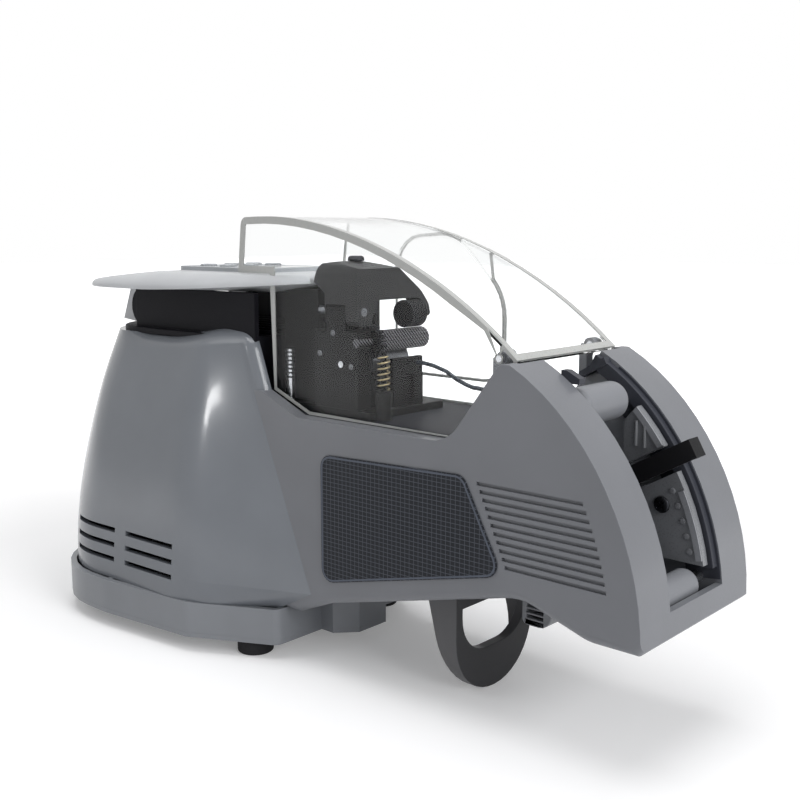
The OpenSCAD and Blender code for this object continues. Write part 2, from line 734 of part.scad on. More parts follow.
module console_housing() color(pale_grey) difference() {
    union() {
        intersection() {
            translate([0, 0, console_z]) linear_extrude(console_t) polygon(console_outline);
            prism(console_side, -console_w, console_w);
        }
        box([console_front - 2 * over, -console_tongue_w / 2, console_z + 3.5],
            [console_front + console_tongue, console_tongue_w / 2, console_top + over]);
    }
    box([panel_x0 + pocket_rim, -panel_w / 2 + pocket_rim, console_z + pocket_floor],
        [panel_x1 - pocket_rim, panel_w / 2 - pocket_rim, console_top + over]);
    both_sides() prism(
        [[cover_back_x - 2, console_top], [console_front + over, console_top - over],
         [console_front + over, console_top + over], [cover_back_x - 2, console_top + over]],
        cover_w / 2 - cover_t - run_gap, cover_w / 2 + run_gap);
}

window_l = 20;
window_w = 40;
window_x1 = panel_x1 - 7;
window_x0 = window_x1 - window_l;
button_x1 = window_x0 - 13;
board_t = 1.6;
board_z = console_z + pocket_floor;
dome_t = 1;
dome_r = 2.5;
flange_t = 1.4;
flange_out = 1.2;
button_gap = 0.25;
// Place of button number i, in two rows across the panel
function button_place(i) = [button_x1 - floor(i / 3) * button_pitch, (i % 3 - 1) * button_pitch];

module console_panel() color(dark_grey) difference() {
    translate([0, 0, console_top]) linear_extrude(panel_t) polygon(rounded([
        [panel_x1, -panel_w / 2, 5], [panel_x1, panel_w / 2, 5],
        [panel_x0, panel_w / 2, 12], [panel_x0, -panel_w / 2, 12]]));
    box([window_x0, -window_w / 2, console_top - over], [window_x1, window_w / 2, panel_z + over]);
    for (i = [0 : 5])
        translate([button_place(i)[0], button_place(i)[1], console_top - over])
            cylinder(r = button_r + button_gap, h = panel_t + 2 * over);
}

module display_lens() color(black)
    box([window_x0, -window_w / 2, panel_z - 1.5], [window_x1, window_w / 2, panel_z]);

module display_module() color(board_green)
    box([window_x0, -window_w / 2, board_z + board_t], [window_x1, window_w / 2, panel_z - 1.5]);

module keypad_board() color(board_green) {
    box([panel_x0 + pocket_rim, -panel_w / 2 + pocket_rim, board_z],
        [panel_x1 - pocket_rim, panel_w / 2 - pocket_rim, board_z + board_t]);
    for (i = [0 : 5])
        translate([button_place(i)[0], button_place(i)[1], board_z])
            cylinder(r = dome_r, h = console_top - flange_t - button_travel - 0.2 - board_z - dome_t);
}

module push_button(i) color(pale_grey) translate([button_place(i)[0], button_place(i)[1], 0]) {
    stem_z = console_top - flange_t - 0.1;
    translate([0, 0, stem_z]) cylinder(r = button_r + flange_out, h = flange_t);
    translate([0, 0, stem_z - dome_t]) cylinder(r = dome_r, h = dome_t);
    translate([0, 0, stem_z]) rotate_extrude() polygon(rounded([
        [0, 0, 0], [button_r, 0, 0], [button_r, flange_t + 0.1 + panel_t + button_h, 0.8],
        [0, flange_t + 0.1 + panel_t + button_h, 0]]));
}

// Feeding and cutting head

head_x0 = crease_x0 - 20;
claw_x0 = head_x0 + 5;
claw_x1 = claw_x0 + claw_l;
tape_z = deck_z + tape_h;
feed_x = claw_x1 - 1;
feed_z = tape_z - feed_r;
press_z = tape_z + press_r + 0.2;
head_floor = 4;
head_half = tape_w / 2 + 12.5;
column_t = 9;
column_y0 = -head_half;
column_y1 = column_y0 + column_t;
head_far = tape_w / 2 - 9;
head_x1 = claw_x1 + 8;
housing_x1 = head_x0 - 1;
housing_x0 = console_front + run_gap;
feed_shaft_r = 2;
claw_pin_y = column_y0 + column_t / 2;
claw_pin_z = tape_z + 9;
claw_pin_r = 2;
claw_hub_r = 6.5;
claw_z0 = tape_z;
claw_top = tape_z + 31.5;
tongue_t = 12;
tongue_x0 = claw_x0 + (claw_l - tongue_t) / 2;
housing_y0 = -tape_w / 2 - 4;
housing_y1 = tape_w / 2 + 4;
spring_x = claw_x1 + 10;
spring_y = column_y1 - 2.5;
spring_z0 = deck_z + head_floor + 10;
spring_h = 16;
spring_post_r = 1.4;
spring_seat_r = 3.8;
stud_x = housing_x1 - 14;
stud_r = 2.5;
stud_y = column_y0 + 2.8;

module head_base() color(black) {
    box([housing_x0, column_y0, deck_z], [head_x1, housing_y1, deck_z + head_floor]);
    translate([spring_x, spring_y, deck_z]) cylinder(r = spring_seat_r, h = spring_z0 - deck_z);
    translate([spring_x, spring_y, deck_z]) cylinder(r = spring_post_r, h = spring_z0 + spring_h + 2 - deck_z);
}

module head_column() color(black) difference() {
    union() {
        box([claw_x0, column_y0, deck_z + head_floor], [claw_x1, column_y1, claw_z0]);
        box([tongue_x0, column_y0, claw_z0], [tongue_x0 + tongue_t, column_y1, claw_pin_z]);
        rod_x(claw_pin_y, claw_pin_z, tongue_x0, tongue_x0 + tongue_t, column_t / 2);
    }
    rod(feed_x, feed_z, column_y0 - over, column_y1 + over, feed_shaft_r + shaft_gap);
    rod(motor_x, motor_z, column_y0 - over, column_y1 + over, motor_shaft_r + shaft_gap);
    rod_x(claw_pin_y, claw_pin_z, claw_x0, claw_x1, claw_pin_r);
}

motor_r = 8;
feed_teeth = 18;
pinion_teeth = 18;
gear_span = gear_m * (feed_teeth + pinion_teeth) / 2;
motor_dx = 10;
motor_x = feed_x - motor_dx;
motor_z = feed_z - sqrt(gear_span * gear_span - motor_dx * motor_dx);
motor_shaft_r = 1.5;
gear_y = column_y1 + run_gap;
motor_y0 = gear_y + gear_t + 1;
mount_half = 7;

module motor_mount() color(black) difference() {
    box([motor_x - mount_half, motor_y0, deck_z + head_floor], [motor_x + mount_half, head_far, motor_z]);
    rod(motor_x, motor_z, motor_y0 - over, head_far + over, motor_r);
}

claw_tip_y = tape_w / 2 + 3;
claw_outline = rounded([
    [column_y0, claw_pin_z - claw_hub_r, 3],
    [column_y1, claw_pin_z - claw_hub_r, 2],
    [column_y1 + 4, tape_z + 14, 3],
    [claw_tip_y - 7, tape_z + 14, 3],
    [claw_tip_y - 4, tape_z + 5, 1],
    [claw_tip_y, tape_z + 5, 1],
    [claw_tip_y, tape_z + 10, 8],
    [claw_tip_y - 6.5, tape_z + 17.5, 14],
    [claw_tip_y - 26.5, claw_top, 12],
    [column_y0, claw_top, 7]]);
// Side of the claw: its top falls to the front and its root is short
claw_side = [
    [claw_x0, claw_pin_z + 13], [claw_x0 + 7, claw_pin_z + 8], [claw_x0 + 7, tape_z], [claw_x1, tape_z],
    [claw_x1, claw_top - 3], [claw_x0 + 9, claw_top], [claw_x0 + 2, claw_top - 1]];
press_y0 = 2;
press_y1 = tape_w / 2 - 5;
press_shaft_r = 1.5;
module press_arm() color(black) difference() {
    intersection() {
        bar(claw_outline, claw_x0, claw_x1);
        prism(claw_side, -arm_w, arm_w);
    }
    // Room for the column's tongue
    box([tongue_x0 - run_gap, column_y0 - over, tape_z],
        [tongue_x0 + tongue_t + run_gap, column_y1 + over, claw_pin_z]);
    rod_x(claw_pin_y, claw_pin_z, tongue_x0 - run_gap, tongue_x0 + tongue_t + run_gap, column_t / 2 + over);
    rod_x(claw_pin_y, claw_pin_z, claw_x0 - over, claw_x1 + over, claw_pin_r + shaft_gap);
    // The hook is only at the front
    box([claw_x0 - over, claw_tip_y - 9, tape_z], [feed_x - press_r - 2, claw_tip_y + over, tape_z + 16]);
    // Room for the pressure roller
    rod(feed_x, press_z, press_y0 - run_gap, press_y1 + run_gap, press_r + run_gap);
    rod(feed_x, press_z, 0, claw_tip_y + over, press_shaft_r + shaft_gap);
    translate([claw_screw_x, claw_screw_y, claw_top - claw_screw_l]) cylinder(r = screw_r, h = claw_screw_l + over);
}

claw_screw_x = claw_x0 + 9;
claw_screw_y = -11;
claw_screw_l = 6;
claw_screw_head = 4;
claw_screw_rise = 2.4;
module press_arm_screw() color(black) translate([claw_screw_x, claw_screw_y, claw_top - claw_screw_l]) {
    cylinder(r = screw_r, h = claw_screw_l);
    translate([0, 0, claw_screw_l]) rotate_extrude() polygon(rounded([
        [0, 0, 0], [claw_screw_head, 0, 0], [claw_screw_head, claw_screw_rise, 1.6], [0, claw_screw_rise, 0]]));
}

module press_arm_pin() color(steel) rod_x(claw_pin_y, claw_pin_z, claw_x0, claw_x1, claw_pin_r);

module pressure_roller() color(dark_grey) {
    rod(feed_x, press_z, press_y0, press_y1, press_r);
    rod(feed_x, press_z, press_y1 - over, claw_tip_y, press_shaft_r);
}

knurl_n = 18;
knurl_d = 0.6;
feed_y0 = gear_y + gear_t + run_gap;
feed_y1 = tape_w / 2 - 2;
module feed_roller() color(dark_grey) {
    difference() {
        rod(feed_x, feed_z, feed_y0, feed_y1, feed_r);
        for (i = [0 : knurl_n - 1])
            translate([feed_x, 0, feed_z]) rotate([0, i * 360 / knurl_n, 0]) translate([feed_r, 0, 0])
                rotate([0, 45, 0]) cube([knurl_d, tape_w + over, knurl_d], center = true);
    }
    rod(feed_x, feed_z, column_y0, feed_y1, feed_shaft_r);
}

// Straight-sided gear blank with n teeth, turned by a
module gear(n, a, t, bore) {
    pitch_r = gear_m * n / 2;
    root_r = pitch_r - 1.25 * gear_m;
    tip_r = pitch_r + 0.8 * gear_m;
    function at(r, ang) = r * [cos(ang), sin(ang)];
    step = 360 / n;
    linear_extrude(t) difference() {
        polygon([for (i = [0 : n - 1]) let (c = a + i * step) each [
            at(root_r, c - 0.3 * step), at(pitch_r, c - 0.2 * step), at(tip_r, c - 0.1 * step),
            at(tip_r, c + 0.1 * step), at(pitch_r, c + 0.2 * step), at(root_r, c + 0.3 * step)]]);
        circle(r = bore);
    }
}

mesh_angle = atan2(motor_z - feed_z, motor_x - feed_x);
module feed_gear() color(brass) translate([feed_x, gear_y + gear_t, feed_z]) rotate([90, 0, 0])
    gear(feed_teeth, mesh_angle, gear_t, feed_shaft_r);

module motor_pinion() color(steel) {
    translate([motor_x, gear_y + gear_t, motor_z]) rotate([90, 0, 0])
        gear(pinion_teeth, mesh_angle + 180 + 180 / pinion_teeth, gear_t, motor_shaft_r);
    rod(motor_x, motor_z, column_y0, motor_y0 + motor_socket - run_gap, motor_shaft_r);
}

motor_socket = 5;
module feed_motor() color(steel) difference() {
    rod(motor_x, motor_z, motor_y0, head_far, motor_r);
    rod(motor_x, motor_z, motor_y0 - over, motor_y0 + motor_socket, motor_shaft_r + shaft_gap);
}

front_t = 3;
front_y0 = -tape_w / 2 + 5.3;
front_top = deck_z + 27;
module head_front_cover() color(black) {
    box([head_x1 - 2 - front_t, front_y0, deck_z + head_floor],
        [head_x1 - 2, head_far, front_top]);
    box([head_x1 - 2, 0, deck_z + head_floor], [head_x1, head_far - 2, front_top - 8]);
}

spring_rings = 8;
spring_sides = 6;
spring_lift = spring_h - 2 * spring_wire;
spring_path = [for (i = [0 : spring_turns * spring_rings])
    let (a = 360 * i / spring_rings)
    [spring_x + spring_r * cos(a), spring_y + spring_r * sin(a),
     spring_z0 + spring_wire + spring_lift * i / (spring_turns * spring_rings)]];
// Least gap between curls, over all pairs of points at least half a turn apart
function self_gap(path, rings, r) =
    min([for (i = [0 : len(path) - 1], j = [i + rings / 2 : 1 : len(path) - 1]) norm(path[i] - path[j])]) - 2 * r;
module head_spring() color(brass) {
    echo(spring_self_gap = self_gap(spring_path, spring_rings, spring_wire));
    tube(spring_path, spring_wire, spring_sides);
}

stud_top = deck_z + 29;
thread_pitch = 2;
thread_n = 7;
module threaded_stud() color(steel) {
    translate([stud_x, stud_y, deck_z + head_floor]) cylinder(r = stud_r - 0.6, h = stud_top - deck_z - head_floor);
    for (i = [0 : thread_n - 1])
        translate([stud_x, stud_y, stud_top - (i + 1) * thread_pitch])
            cylinder(r1 = stud_r - 0.6, r2 = stud_r, h = thread_pitch / 2);
}

slit_h = 5;
blade_x = housing_x1 - 5;
blade_h = 13;
blade_top = tape_z + 17;
blade_half = tape_w / 2 - 0.5;
housing_top = tape_z + 18;
module cutter_housing() color(black) difference() {
    box([housing_x0, housing_y0, deck_z + head_floor], [housing_x1, housing_y1, housing_top]);
    box([housing_x0 - over, -tape_w / 2, tape_z - 1], [housing_x1 + over, tape_w / 2, tape_z - 1 + slit_h]);
    box([blade_x - run_gap, -blade_half - run_gap, tape_z - 9],
        [blade_x + blade_t + run_gap, blade_half + run_gap, blade_top + run_gap]);
    box([housing_x0 + wall, housing_y0 + wall, deck_z + head_floor - over],
        [blade_x - wall, housing_y1 - wall, tape_z - 1 - wall]);
}

cutter_motor_r = 6;
cutter_motor_x = (housing_x0 + blade_x) / 2;
module cutter_motor() color(steel)
    rod(cutter_motor_x, deck_z + head_floor + cutter_motor_r, housing_y0 + wall, housing_y1 - wall, cutter_motor_r);

module cutter_blade() color(steel)
    box([blade_x, -blade_half, blade_top - blade_h], [blade_x + blade_t, blade_half, blade_top]);

// Route of the cable as [share of the way, y, height over the deck]
cable_route = [[0.13, 5, 23], [0.23, 5, 21], [0.34, 3, 18], [0.45, -1, 17], [0.55, -6, 17], [0.66, -12, 18],
               [0.77, -19, 19], [0.87, -24, 20]];
cable_y = 4;
cable_z = deck_z + 24;
cable_x0 = head_x1 - 2;
cable_path = concat(
    [[cable_x0, cable_y, cable_z], [cable_x0 + 4, cable_y, cable_z]],
    [for (p = cable_route) [mix(cable_x0, cable_hole_x, p[0]), p[1], deck_z + p[2]]],
    [[cable_hole_x - 3, cable_end_y, deck_z + 20],
     [cable_hole_x, cable_end_y, cable_hole_z + 2], [cable_hole_x, cable_end_y, cable_hole_z - 3]]);
module head_cable() color(dark_grey) tube(cable_path, cable_r, 8);

// Leg, vent housing and the inside of the pedestal

// Height of the arm's underside at x
function under_z(x) = mix(plinth_top + 10, nose_z + 10, (x - crease_x0 - 11) / (nose_x - 66 - crease_x0));
leg_x1 = nose_x - 98;
leg_x0 = leg_x1 - leg_top_t;
leg_side = [[leg_x1 - leg_foot_t, 0], [leg_x1, 0], [leg_x1, under_z(leg_x1)], [leg_x0, under_z(leg_x0)]];
leg_bow = rounded([
    [-leg_w / 2, nose_z + 10, 0], [-leg_w / 2, 0, leg_w / 2 - 0.5], [leg_w / 2, 0, leg_w / 2 - 0.5],
    [leg_w / 2, nose_z + 10, 0]], 10);
leg_hole_h = 20;
leg_in = leg_w / 2 - leg_band;
leg_hole_in = leg_in - 1;
leg_hole_r = 18;
leg_hole = rounded([
    [-leg_hole_in, under_z(leg_x0) - 4.5, 0], [-leg_hole_in, leg_hole_h, leg_hole_r],
    [leg_hole_in, leg_hole_h, leg_hole_r], [leg_hole_in, under_z(leg_x0) - 4.5, 0]], 10);
// The room behind the leg's front plate, inside its rim
leg_room = rounded([
    [-leg_in, under_z(leg_x0) - 4, 0], [-leg_in, leg_band, leg_in - 0.5],
    [leg_in, leg_band, leg_in - 0.5], [leg_in, under_z(leg_x0) - 4, 0]], 10);

module front_leg() color(shell_grey) intersection() {
    prism(leg_side, -leg_w, leg_w);
    difference() {
        bar(leg_bow, leg_x0 - over, leg_x1 + over);
        bar(leg_hole, leg_x0 - 2 * over, leg_x1 + 2 * over);
        bar(leg_room, leg_x0 - 2 * over, leg_x1 - leg_foot_t);
    }
}

pod_x0 = leg_x1 + 6;
pod_x1 = pod_x0 + 16;
pod_y0 = 12;
pod_y1 = 30;
pod_z = foot_h + 19.4;
pod_slot_n = 4;
pod_slot_pitch = 2.6;
pod_slot_h = 1.5;
pod_side = rounded([[pod_x0, pod_z, 3], [pod_x1, pod_z, 7], [pod_x1, under_z(pod_x1), 0], [pod_x0, under_z(pod_x0), 0]]);
module vent_housing() color(shell_grey) difference() {
    prism(pod_side, pod_y0, pod_y1);
    box([pod_x0 + wall, pod_y0 + wall, pod_z + wall], [pod_x1 - wall, pod_y1 - wall, nose_z + 12]);
    for (i = [0 : pod_slot_n - 1])
        box([pod_x0 + 2.5, pod_y0 - over, pod_z + 1.1 + i * pod_slot_pitch],
            [pod_x1 - 4.5, pod_y0 + wall + over, pod_z + 1.1 + i * pod_slot_pitch + pod_slot_h]);
}

inside_z = foot_h + base_t;
psu_size = [62, 52, 38];
psu_x = rear_x + 40;
module power_supply() color(steel)
    translate([psu_x, -psu_size[1] / 2, inside_z]) cube(psu_size);

stand_h = 6;
main_x0 = psu_x + psu_size[0] + 6;
main_l = 40;
main_w = 60;
module main_board() color(board_green) {
    translate([main_x0, -main_w / 2, inside_z + stand_h]) cube([main_l, main_w, board_t]);
    for (i = [0 : 1]) both_sides()
        translate([main_x0 + 5 + i * (main_l - 10), main_w / 2 - 5, inside_z]) cylinder(r = 2.5, h = stand_h);
}

inlet_bore = 3;
inlet_l = 14;
module power_inlet() color(black) difference() {
    union() {
        rod_x(inlet_y, panel_mid_z, plinth_front - inlet_l, plinth_front, inlet_r);
        rod_x(inlet_y, panel_mid_z, plinth_front, plinth_front + 1.5, inlet_r + 1);
    }
    rod_x(inlet_y, panel_mid_z, plinth_front - inlet_l + 3, plinth_front + 2, inlet_bore);
}

rocker_gap = 0.5;
rocker_deep = 7;
rocker_tilt = 7;
rocker_pin_r = 1.2;
rocker_x = plinth_front - 2;
module switch_frame() color(black) difference() {
    union() {
        box([plinth_front - rocker_deep - 2, switch_y - switch_w / 2, panel_mid_z - switch_h / 2],
            [plinth_front, switch_y + switch_w / 2, panel_mid_z + switch_h / 2]);
        box([plinth_front, switch_y - switch_w / 2 - 1, panel_mid_z - switch_h / 2 - 1],
            [plinth_front + 1, switch_y + switch_w / 2 + 1, panel_mid_z + switch_h / 2 + 1]);
    }
    box([plinth_front - rocker_deep, switch_y - switch_w / 2 + 1, panel_mid_z - switch_h / 2 + 1],
        [plinth_front + 2, switch_y + switch_w / 2 - 1, panel_mid_z + switch_h / 2 - 1]);
    translate([rocker_x, switch_y, panel_mid_z]) cylinder(r = rocker_pin_r + shaft_gap, h = switch_h, center = true);
}

rocker_half = switch_w / 2 - 1 - rocker_gap;
module power_switch() color(dark_grey) translate([rocker_x, switch_y, panel_mid_z]) rotate([0, 0, rocker_tilt]) {
    linear_extrude(switch_h - 2 - 2 * rocker_gap, center = true) polygon([
        [-2, -2], [2, -rocker_half], [3.2, -rocker_half], [2.6, 0], [3.2, rocker_half], [2, rocker_half], [-2, 2]]);
    cylinder(r = rocker_pin_r, h = switch_h - rocker_gap, center = true);
}

feet();
base_plate();
base_screws();
plinth();
pedestal_shell();
arm_shell_near();
arm_shell_far();
label_plate();
bay_liner();
bay_trim();
upper_guide_plate();
lower_guide_plate();
plate_screw();
lever_pin();
bay_lever();
roller_shafts();
top_guide_roller();
bottom_guide_roller();
rear_bay_roller();
clear_cover();
cover_hinge_pins();
neck_tray();
console_housing();
console_panel();
display_lens();
display_module();
keypad_board();
push_button(0);  // button_1
push_button(1);  // button_2
push_button(2);  // button_3
push_button(3);  // button_4
push_button(4);  // button_5
push_button(5);  // button_6
head_base();
head_column();
motor_mount();
press_arm();
press_arm_screw();
press_arm_pin();
pressure_roller();
feed_roller();
feed_gear();
motor_pinion();
feed_motor();
head_front_cover();
head_spring();
threaded_stud();
cutter_housing();
cutter_motor();
cutter_blade();
head_cable();
front_leg();
vent_housing();
power_supply();
main_board();
power_inlet();
switch_frame();
power_switch();
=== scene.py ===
"""Looks of a counter-top electric tape dispenser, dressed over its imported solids.

Sizes of the object are in millimetres, in the frame of the solids: X to the nose, Y to the far side, Z up.
Meshes and the stage are in metres.
"""

import json
import logging
import math
from dataclasses import dataclass
from enum import Enum
from typing import Callable, ClassVar, Iterable, Optional, Sequence, Union

import bmesh
import bpy
import numpy as np
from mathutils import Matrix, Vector


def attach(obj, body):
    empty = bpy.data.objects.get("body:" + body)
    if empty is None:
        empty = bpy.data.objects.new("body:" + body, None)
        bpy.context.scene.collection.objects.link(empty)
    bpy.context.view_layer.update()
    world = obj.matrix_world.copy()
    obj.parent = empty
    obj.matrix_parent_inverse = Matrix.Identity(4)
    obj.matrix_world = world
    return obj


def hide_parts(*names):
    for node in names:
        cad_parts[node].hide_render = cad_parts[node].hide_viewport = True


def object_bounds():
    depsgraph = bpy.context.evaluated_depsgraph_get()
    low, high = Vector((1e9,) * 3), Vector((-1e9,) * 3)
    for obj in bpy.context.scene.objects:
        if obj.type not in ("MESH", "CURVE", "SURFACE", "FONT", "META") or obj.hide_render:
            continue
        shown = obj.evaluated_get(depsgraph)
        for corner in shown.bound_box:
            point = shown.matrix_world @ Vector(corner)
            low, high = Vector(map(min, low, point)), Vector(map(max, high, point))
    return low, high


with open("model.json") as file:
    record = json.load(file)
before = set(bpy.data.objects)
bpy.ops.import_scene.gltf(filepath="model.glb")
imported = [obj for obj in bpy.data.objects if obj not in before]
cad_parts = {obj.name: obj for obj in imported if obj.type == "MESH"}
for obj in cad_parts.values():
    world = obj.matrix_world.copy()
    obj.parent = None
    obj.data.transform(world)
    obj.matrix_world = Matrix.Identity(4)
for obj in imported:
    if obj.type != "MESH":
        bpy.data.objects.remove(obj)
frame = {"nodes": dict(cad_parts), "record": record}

MM = 0.001
# Distance in millimetres within which a point counts as lying on a face.
TOUCH = 0.05
SIDES = (-1, 1)
QUARTER = math.pi / 2
CAD_BOX = [list(corner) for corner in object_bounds()]
BODY_OF = {node: body for body, nodes in frame["record"]["behaviour"]["bodies"].items() for node in nodes}

log = logging.getLogger("tape_dispenser")

Point = Sequence[float]
Pair = tuple[float, float]
Triple = tuple[float, float, float]
Colour = tuple[int, int, int]
Edge = bmesh.types.BMEdge
Node = bpy.types.Node
Tree = bpy.types.NodeTree
Socket = bpy.types.NodeSocket
Value = Union[float, Sequence[float], Socket]
Values = dict[Union[str, int], Value]
Setting = Union[str, float]
Outline = tuple[Pair, ...]


def linear(colour: Colour) -> list[float]:
    """Linear red, green, blue and an alpha of 1 for a screen colour of 0 to 255, by the sRGB curve."""
    parts = [c / 255 for c in colour]
    return [c / 12.92 if c <= 0.04045 else ((c + 0.055) / 1.055) ** 2.4 for c in parts] + [1.0]


def mix(a: float, b: float, t: float) -> float:
    """Value between a and b at share t."""
    return a + (b - a) * t


def ease(low: float, high: float, value: float) -> float:
    """Smooth step from 0 at low to 1 at high."""
    t = min(1.0, max(0.0, (value - low) / (high - low)))
    return t * t * (3 - 2 * t)


def bezier(points: Sequence[Pair], steps: int) -> np.ndarray:
    """Points of a cubic curve in a plane.

    Args:
        points: Its start, two handles and end.
        steps: Number of steps along it.

    Returns:
        The points, one more than steps.
    """
    a, b, c, d = np.array(points)
    t = np.linspace(0, 1, steps + 1)[:, None]
    s = 1 - t
    return s ** 3 * a + 3 * s ** 2 * t * b + 3 * s * t ** 2 * c + t ** 3 * d


def beside(line: np.ndarray, gap: float) -> np.ndarray:
    """Move an open line in a plane to its left by a gap."""
    run = np.gradient(line, axis=0)
    return line + np.stack([-run[:, 1], run[:, 0]], axis=1) / np.linalg.norm(run, axis=1)[:, None] * gap


def inside(loop: np.ndarray, gaps: np.ndarray) -> np.ndarray:
    """Move a closed loop inwards.

    Args:
        loop: Points in a plane, counter-clockwise.
        gaps: Distance of the move at each point.

    Returns:
        The moved points.
    """
    sharpest = 0.5
    ahead = np.roll(loop, -1, 0) - loop
    ahead = ahead / np.linalg.norm(ahead, axis=1)[:, None]
    left = np.stack([-ahead[:, 1], ahead[:, 0]], axis=1)
    both = left + np.roll(left, 1, 0)
    both = both / np.maximum(np.sum(both * left, axis=1), sharpest)[:, None]
    return loop + both * gaps[:, None]


def spread(line: np.ndarray, count: int) -> np.ndarray:
    """Lay a number of points evenly along a line in a plane, from end to end."""
    gone = np.concatenate([[0], np.cumsum(np.linalg.norm(np.diff(line, axis=0), axis=1))])
    return np.stack([np.interp(np.linspace(0, gone[-1], count), gone, axis) for axis in line.T], axis=1)


def circle(middle: Vector, side: Vector, up: Vector, radius: float, sides: int) -> list[Vector]:
    """Corners of a regular polygon round a middle, in the plane of two directions."""
    turns = [math.tau * k / sides for k in range(sides)]
    return [middle + radius * (side * math.cos(a) + up * math.sin(a)) for a in turns]


def add_object(name: str, data: bpy.types.ID) -> bpy.types.Object:
    """Put a mesh, lamp or camera into the scene.

    Args:
        name: Name of the object.
        data: What it shows.

    Returns:
        The object.
    """
    obj = bpy.data.objects.new(name, data)
    bpy.context.scene.collection.objects.link(obj)
    return obj


def fill(node: Node, values: Values) -> None:
    """Set or link a node's inputs.

    Args:
        node: The node.
        values: Constants, or sockets to link, by the input's name or number.
    """
    for key, value in values.items():
        if isinstance(value, Socket):
            node.id_data.links.new(value, node.inputs[key])
        else:
            node.inputs[key].default_value = value


def new_node(tree: Tree, kind: str, values: Optional[Values] = None, **settings: Setting) -> Node:
    """Add a shader node.

    Args:
        tree: Tree that gets the node.
        kind: Type of the node without its prefix.
        values: Constants or sockets for its inputs.
        settings: The node's own settings.

    Returns:
        The node.
    """
    node = tree.nodes.new(f"ShaderNode{kind}")
    for key, setting in settings.items():
        setattr(node, key, setting)
    fill(node, values or {})
    return node


def remap(tree: Tree, value: Socket, source: Pair, target: Pair) -> Socket:
    """Map a value from one range onto another."""
    ends = zip(("From Min", "From Max", "To Min", "To Max"), (*source, *target))
    return new_node(tree, "MapRange", {"Value": value, **dict(ends)}).outputs["Result"]


def combine(tree: Tree, operation: str, first: Socket, second: Socket) -> Socket:
    """Join two values by one of the math node's operations."""
    return new_node(tree, "Math", {0: first, 1: second}, operation=operation).outputs[0]


class Slot(Enum):
    """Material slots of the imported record."""

    SHELL = "shell"
    PALE = "pale"
    DARK = "dark"
    BLACK = "black"
    LABEL = "label"
    RUBBER = "rubber"
    STEEL = "steel"
    BRASS = "brass"
    CLEAR = "clear"
    BOARD = "board"


class Graph:
    """A material's node tree with short ways to add textures."""

    # Range that holds most values of a noise texture.
    NOISE: ClassVar[Pair] = (0.3, 0.7)

    def __init__(self, name: str) -> None:
        """Start a material with a principled shader.

        Args:
            name: Name of the material.
        """
        self.material = bpy.data.materials.new(name)
        self.material.use_nodes = True
        self.tree = self.material.node_tree
        self.tree.nodes.clear()
        self.shader = self.add("BsdfPrincipled")
        self.add("OutputMaterial", {"Surface": self.shader.outputs["BSDF"]})
        self.coords = self.add("TexCoord").outputs["Object"]

    def add(self, kind: str, values: Optional[Values] = None, **settings: Setting) -> Node:
        """Add a node to the material."""
        return new_node(self.tree, kind, values, **settings)

    def set(self, **values: Value) -> None:
        """Set or link the shader's inputs, with underscores for the spaces in their names."""
        fill(self.shader, {key.replace("_", " "): value for key, value in values.items()})

    def noise(self, scale: float, detail: float = 3.0, stretch: Point = (1, 1, 1)) -> Socket:
        """Add a noise texture with a number of grains per metre, layers of finer grain and a stretch."""
        place = self.add("Mapping", {"Vector": self.coords, "Scale": stretch}).outputs["Vector"]
        return self.add("TexNoise", {"Vector": place, "Scale": scale, "Detail": detail}).outputs["Fac"]

    def ramp(self, value: Socket, low: Sequence[float], high: Sequence[float], ends: Pair = NOISE) -> Socket:
        """Colour a value between two tones.

        Args:
            value: The value.
            low: Tone at the first end.
            high: Tone at the second end.
            ends: Values of the two tones.

        Returns:
            The colour.
        """
        node = self.add("ValToRGB", {"Fac": value})
        for stop, place, tone in zip(node.color_ramp.elements, ends, (low, high)):
            stop.position, stop.color = place, tone
        return node.outputs["Color"]

    def span(self, value: Socket, low: float, high: float) -> Socket:
        """Map a noise value onto a range of numbers."""
        return remap(self.tree, value, self.NOISE, (low, high))

    def paint_front_shade(self, colour: Socket, tone: Sequence[float]) -> Socket:
        """Paint the faces that look to the nose in another tone, as painted shade.

        Args:
            colour: Colour of the other faces.
            tone: Painted shade tone of the faces that look along X.

        Returns:
            The colour.
        """
        normal = self.add("NewGeometry").outputs["Normal"]
        ahead = self.add("SeparateXYZ", {"Vector": normal}).outputs["X"]
        # Inputs 0, 6 and 7 and output 2 of this node are those that work on colours.
        return self.add("Mix", {0: ahead, 6: colour, 7: tone}, data_type="RGBA").outputs[2]

    def relief(self, height: Socket, strength: float, depth: float) -> None:
        """Raise the surface by a share of a height, up to a depth in millimetres."""
        bump = self.add("Bump", {"Height": height, "Strength": strength, "Distance": depth * MM})
        self.set(Normal=bump.outputs["Normal"])


@dataclass(frozen=True)
class Finish:
    """A finish that makes its material once."""

    name: str
    slot: Slot
    tone: Colour
    made: ClassVar[dict[str, bpy.types.Material]] = {}

    def paint(self, graph: Graph) -> None:
        """Build the nodes of the finish in a graph."""
        raise NotImplementedError

    def shade(self, factor: float) -> list[float]:
        """The tone times a factor."""
        return [c * factor for c in linear(self.tone)[:3]] + [1.0]

    def material(self) -> bpy.types.Material:
        """Give the finish's material, made at the first call.

        Returns:
            The material.
        """
        if self.name not in Finish.made:
            graph = Graph(self.name)
            self.paint(graph)
            Finish.made[self.name] = graph.material
        return Finish.made[self.name]


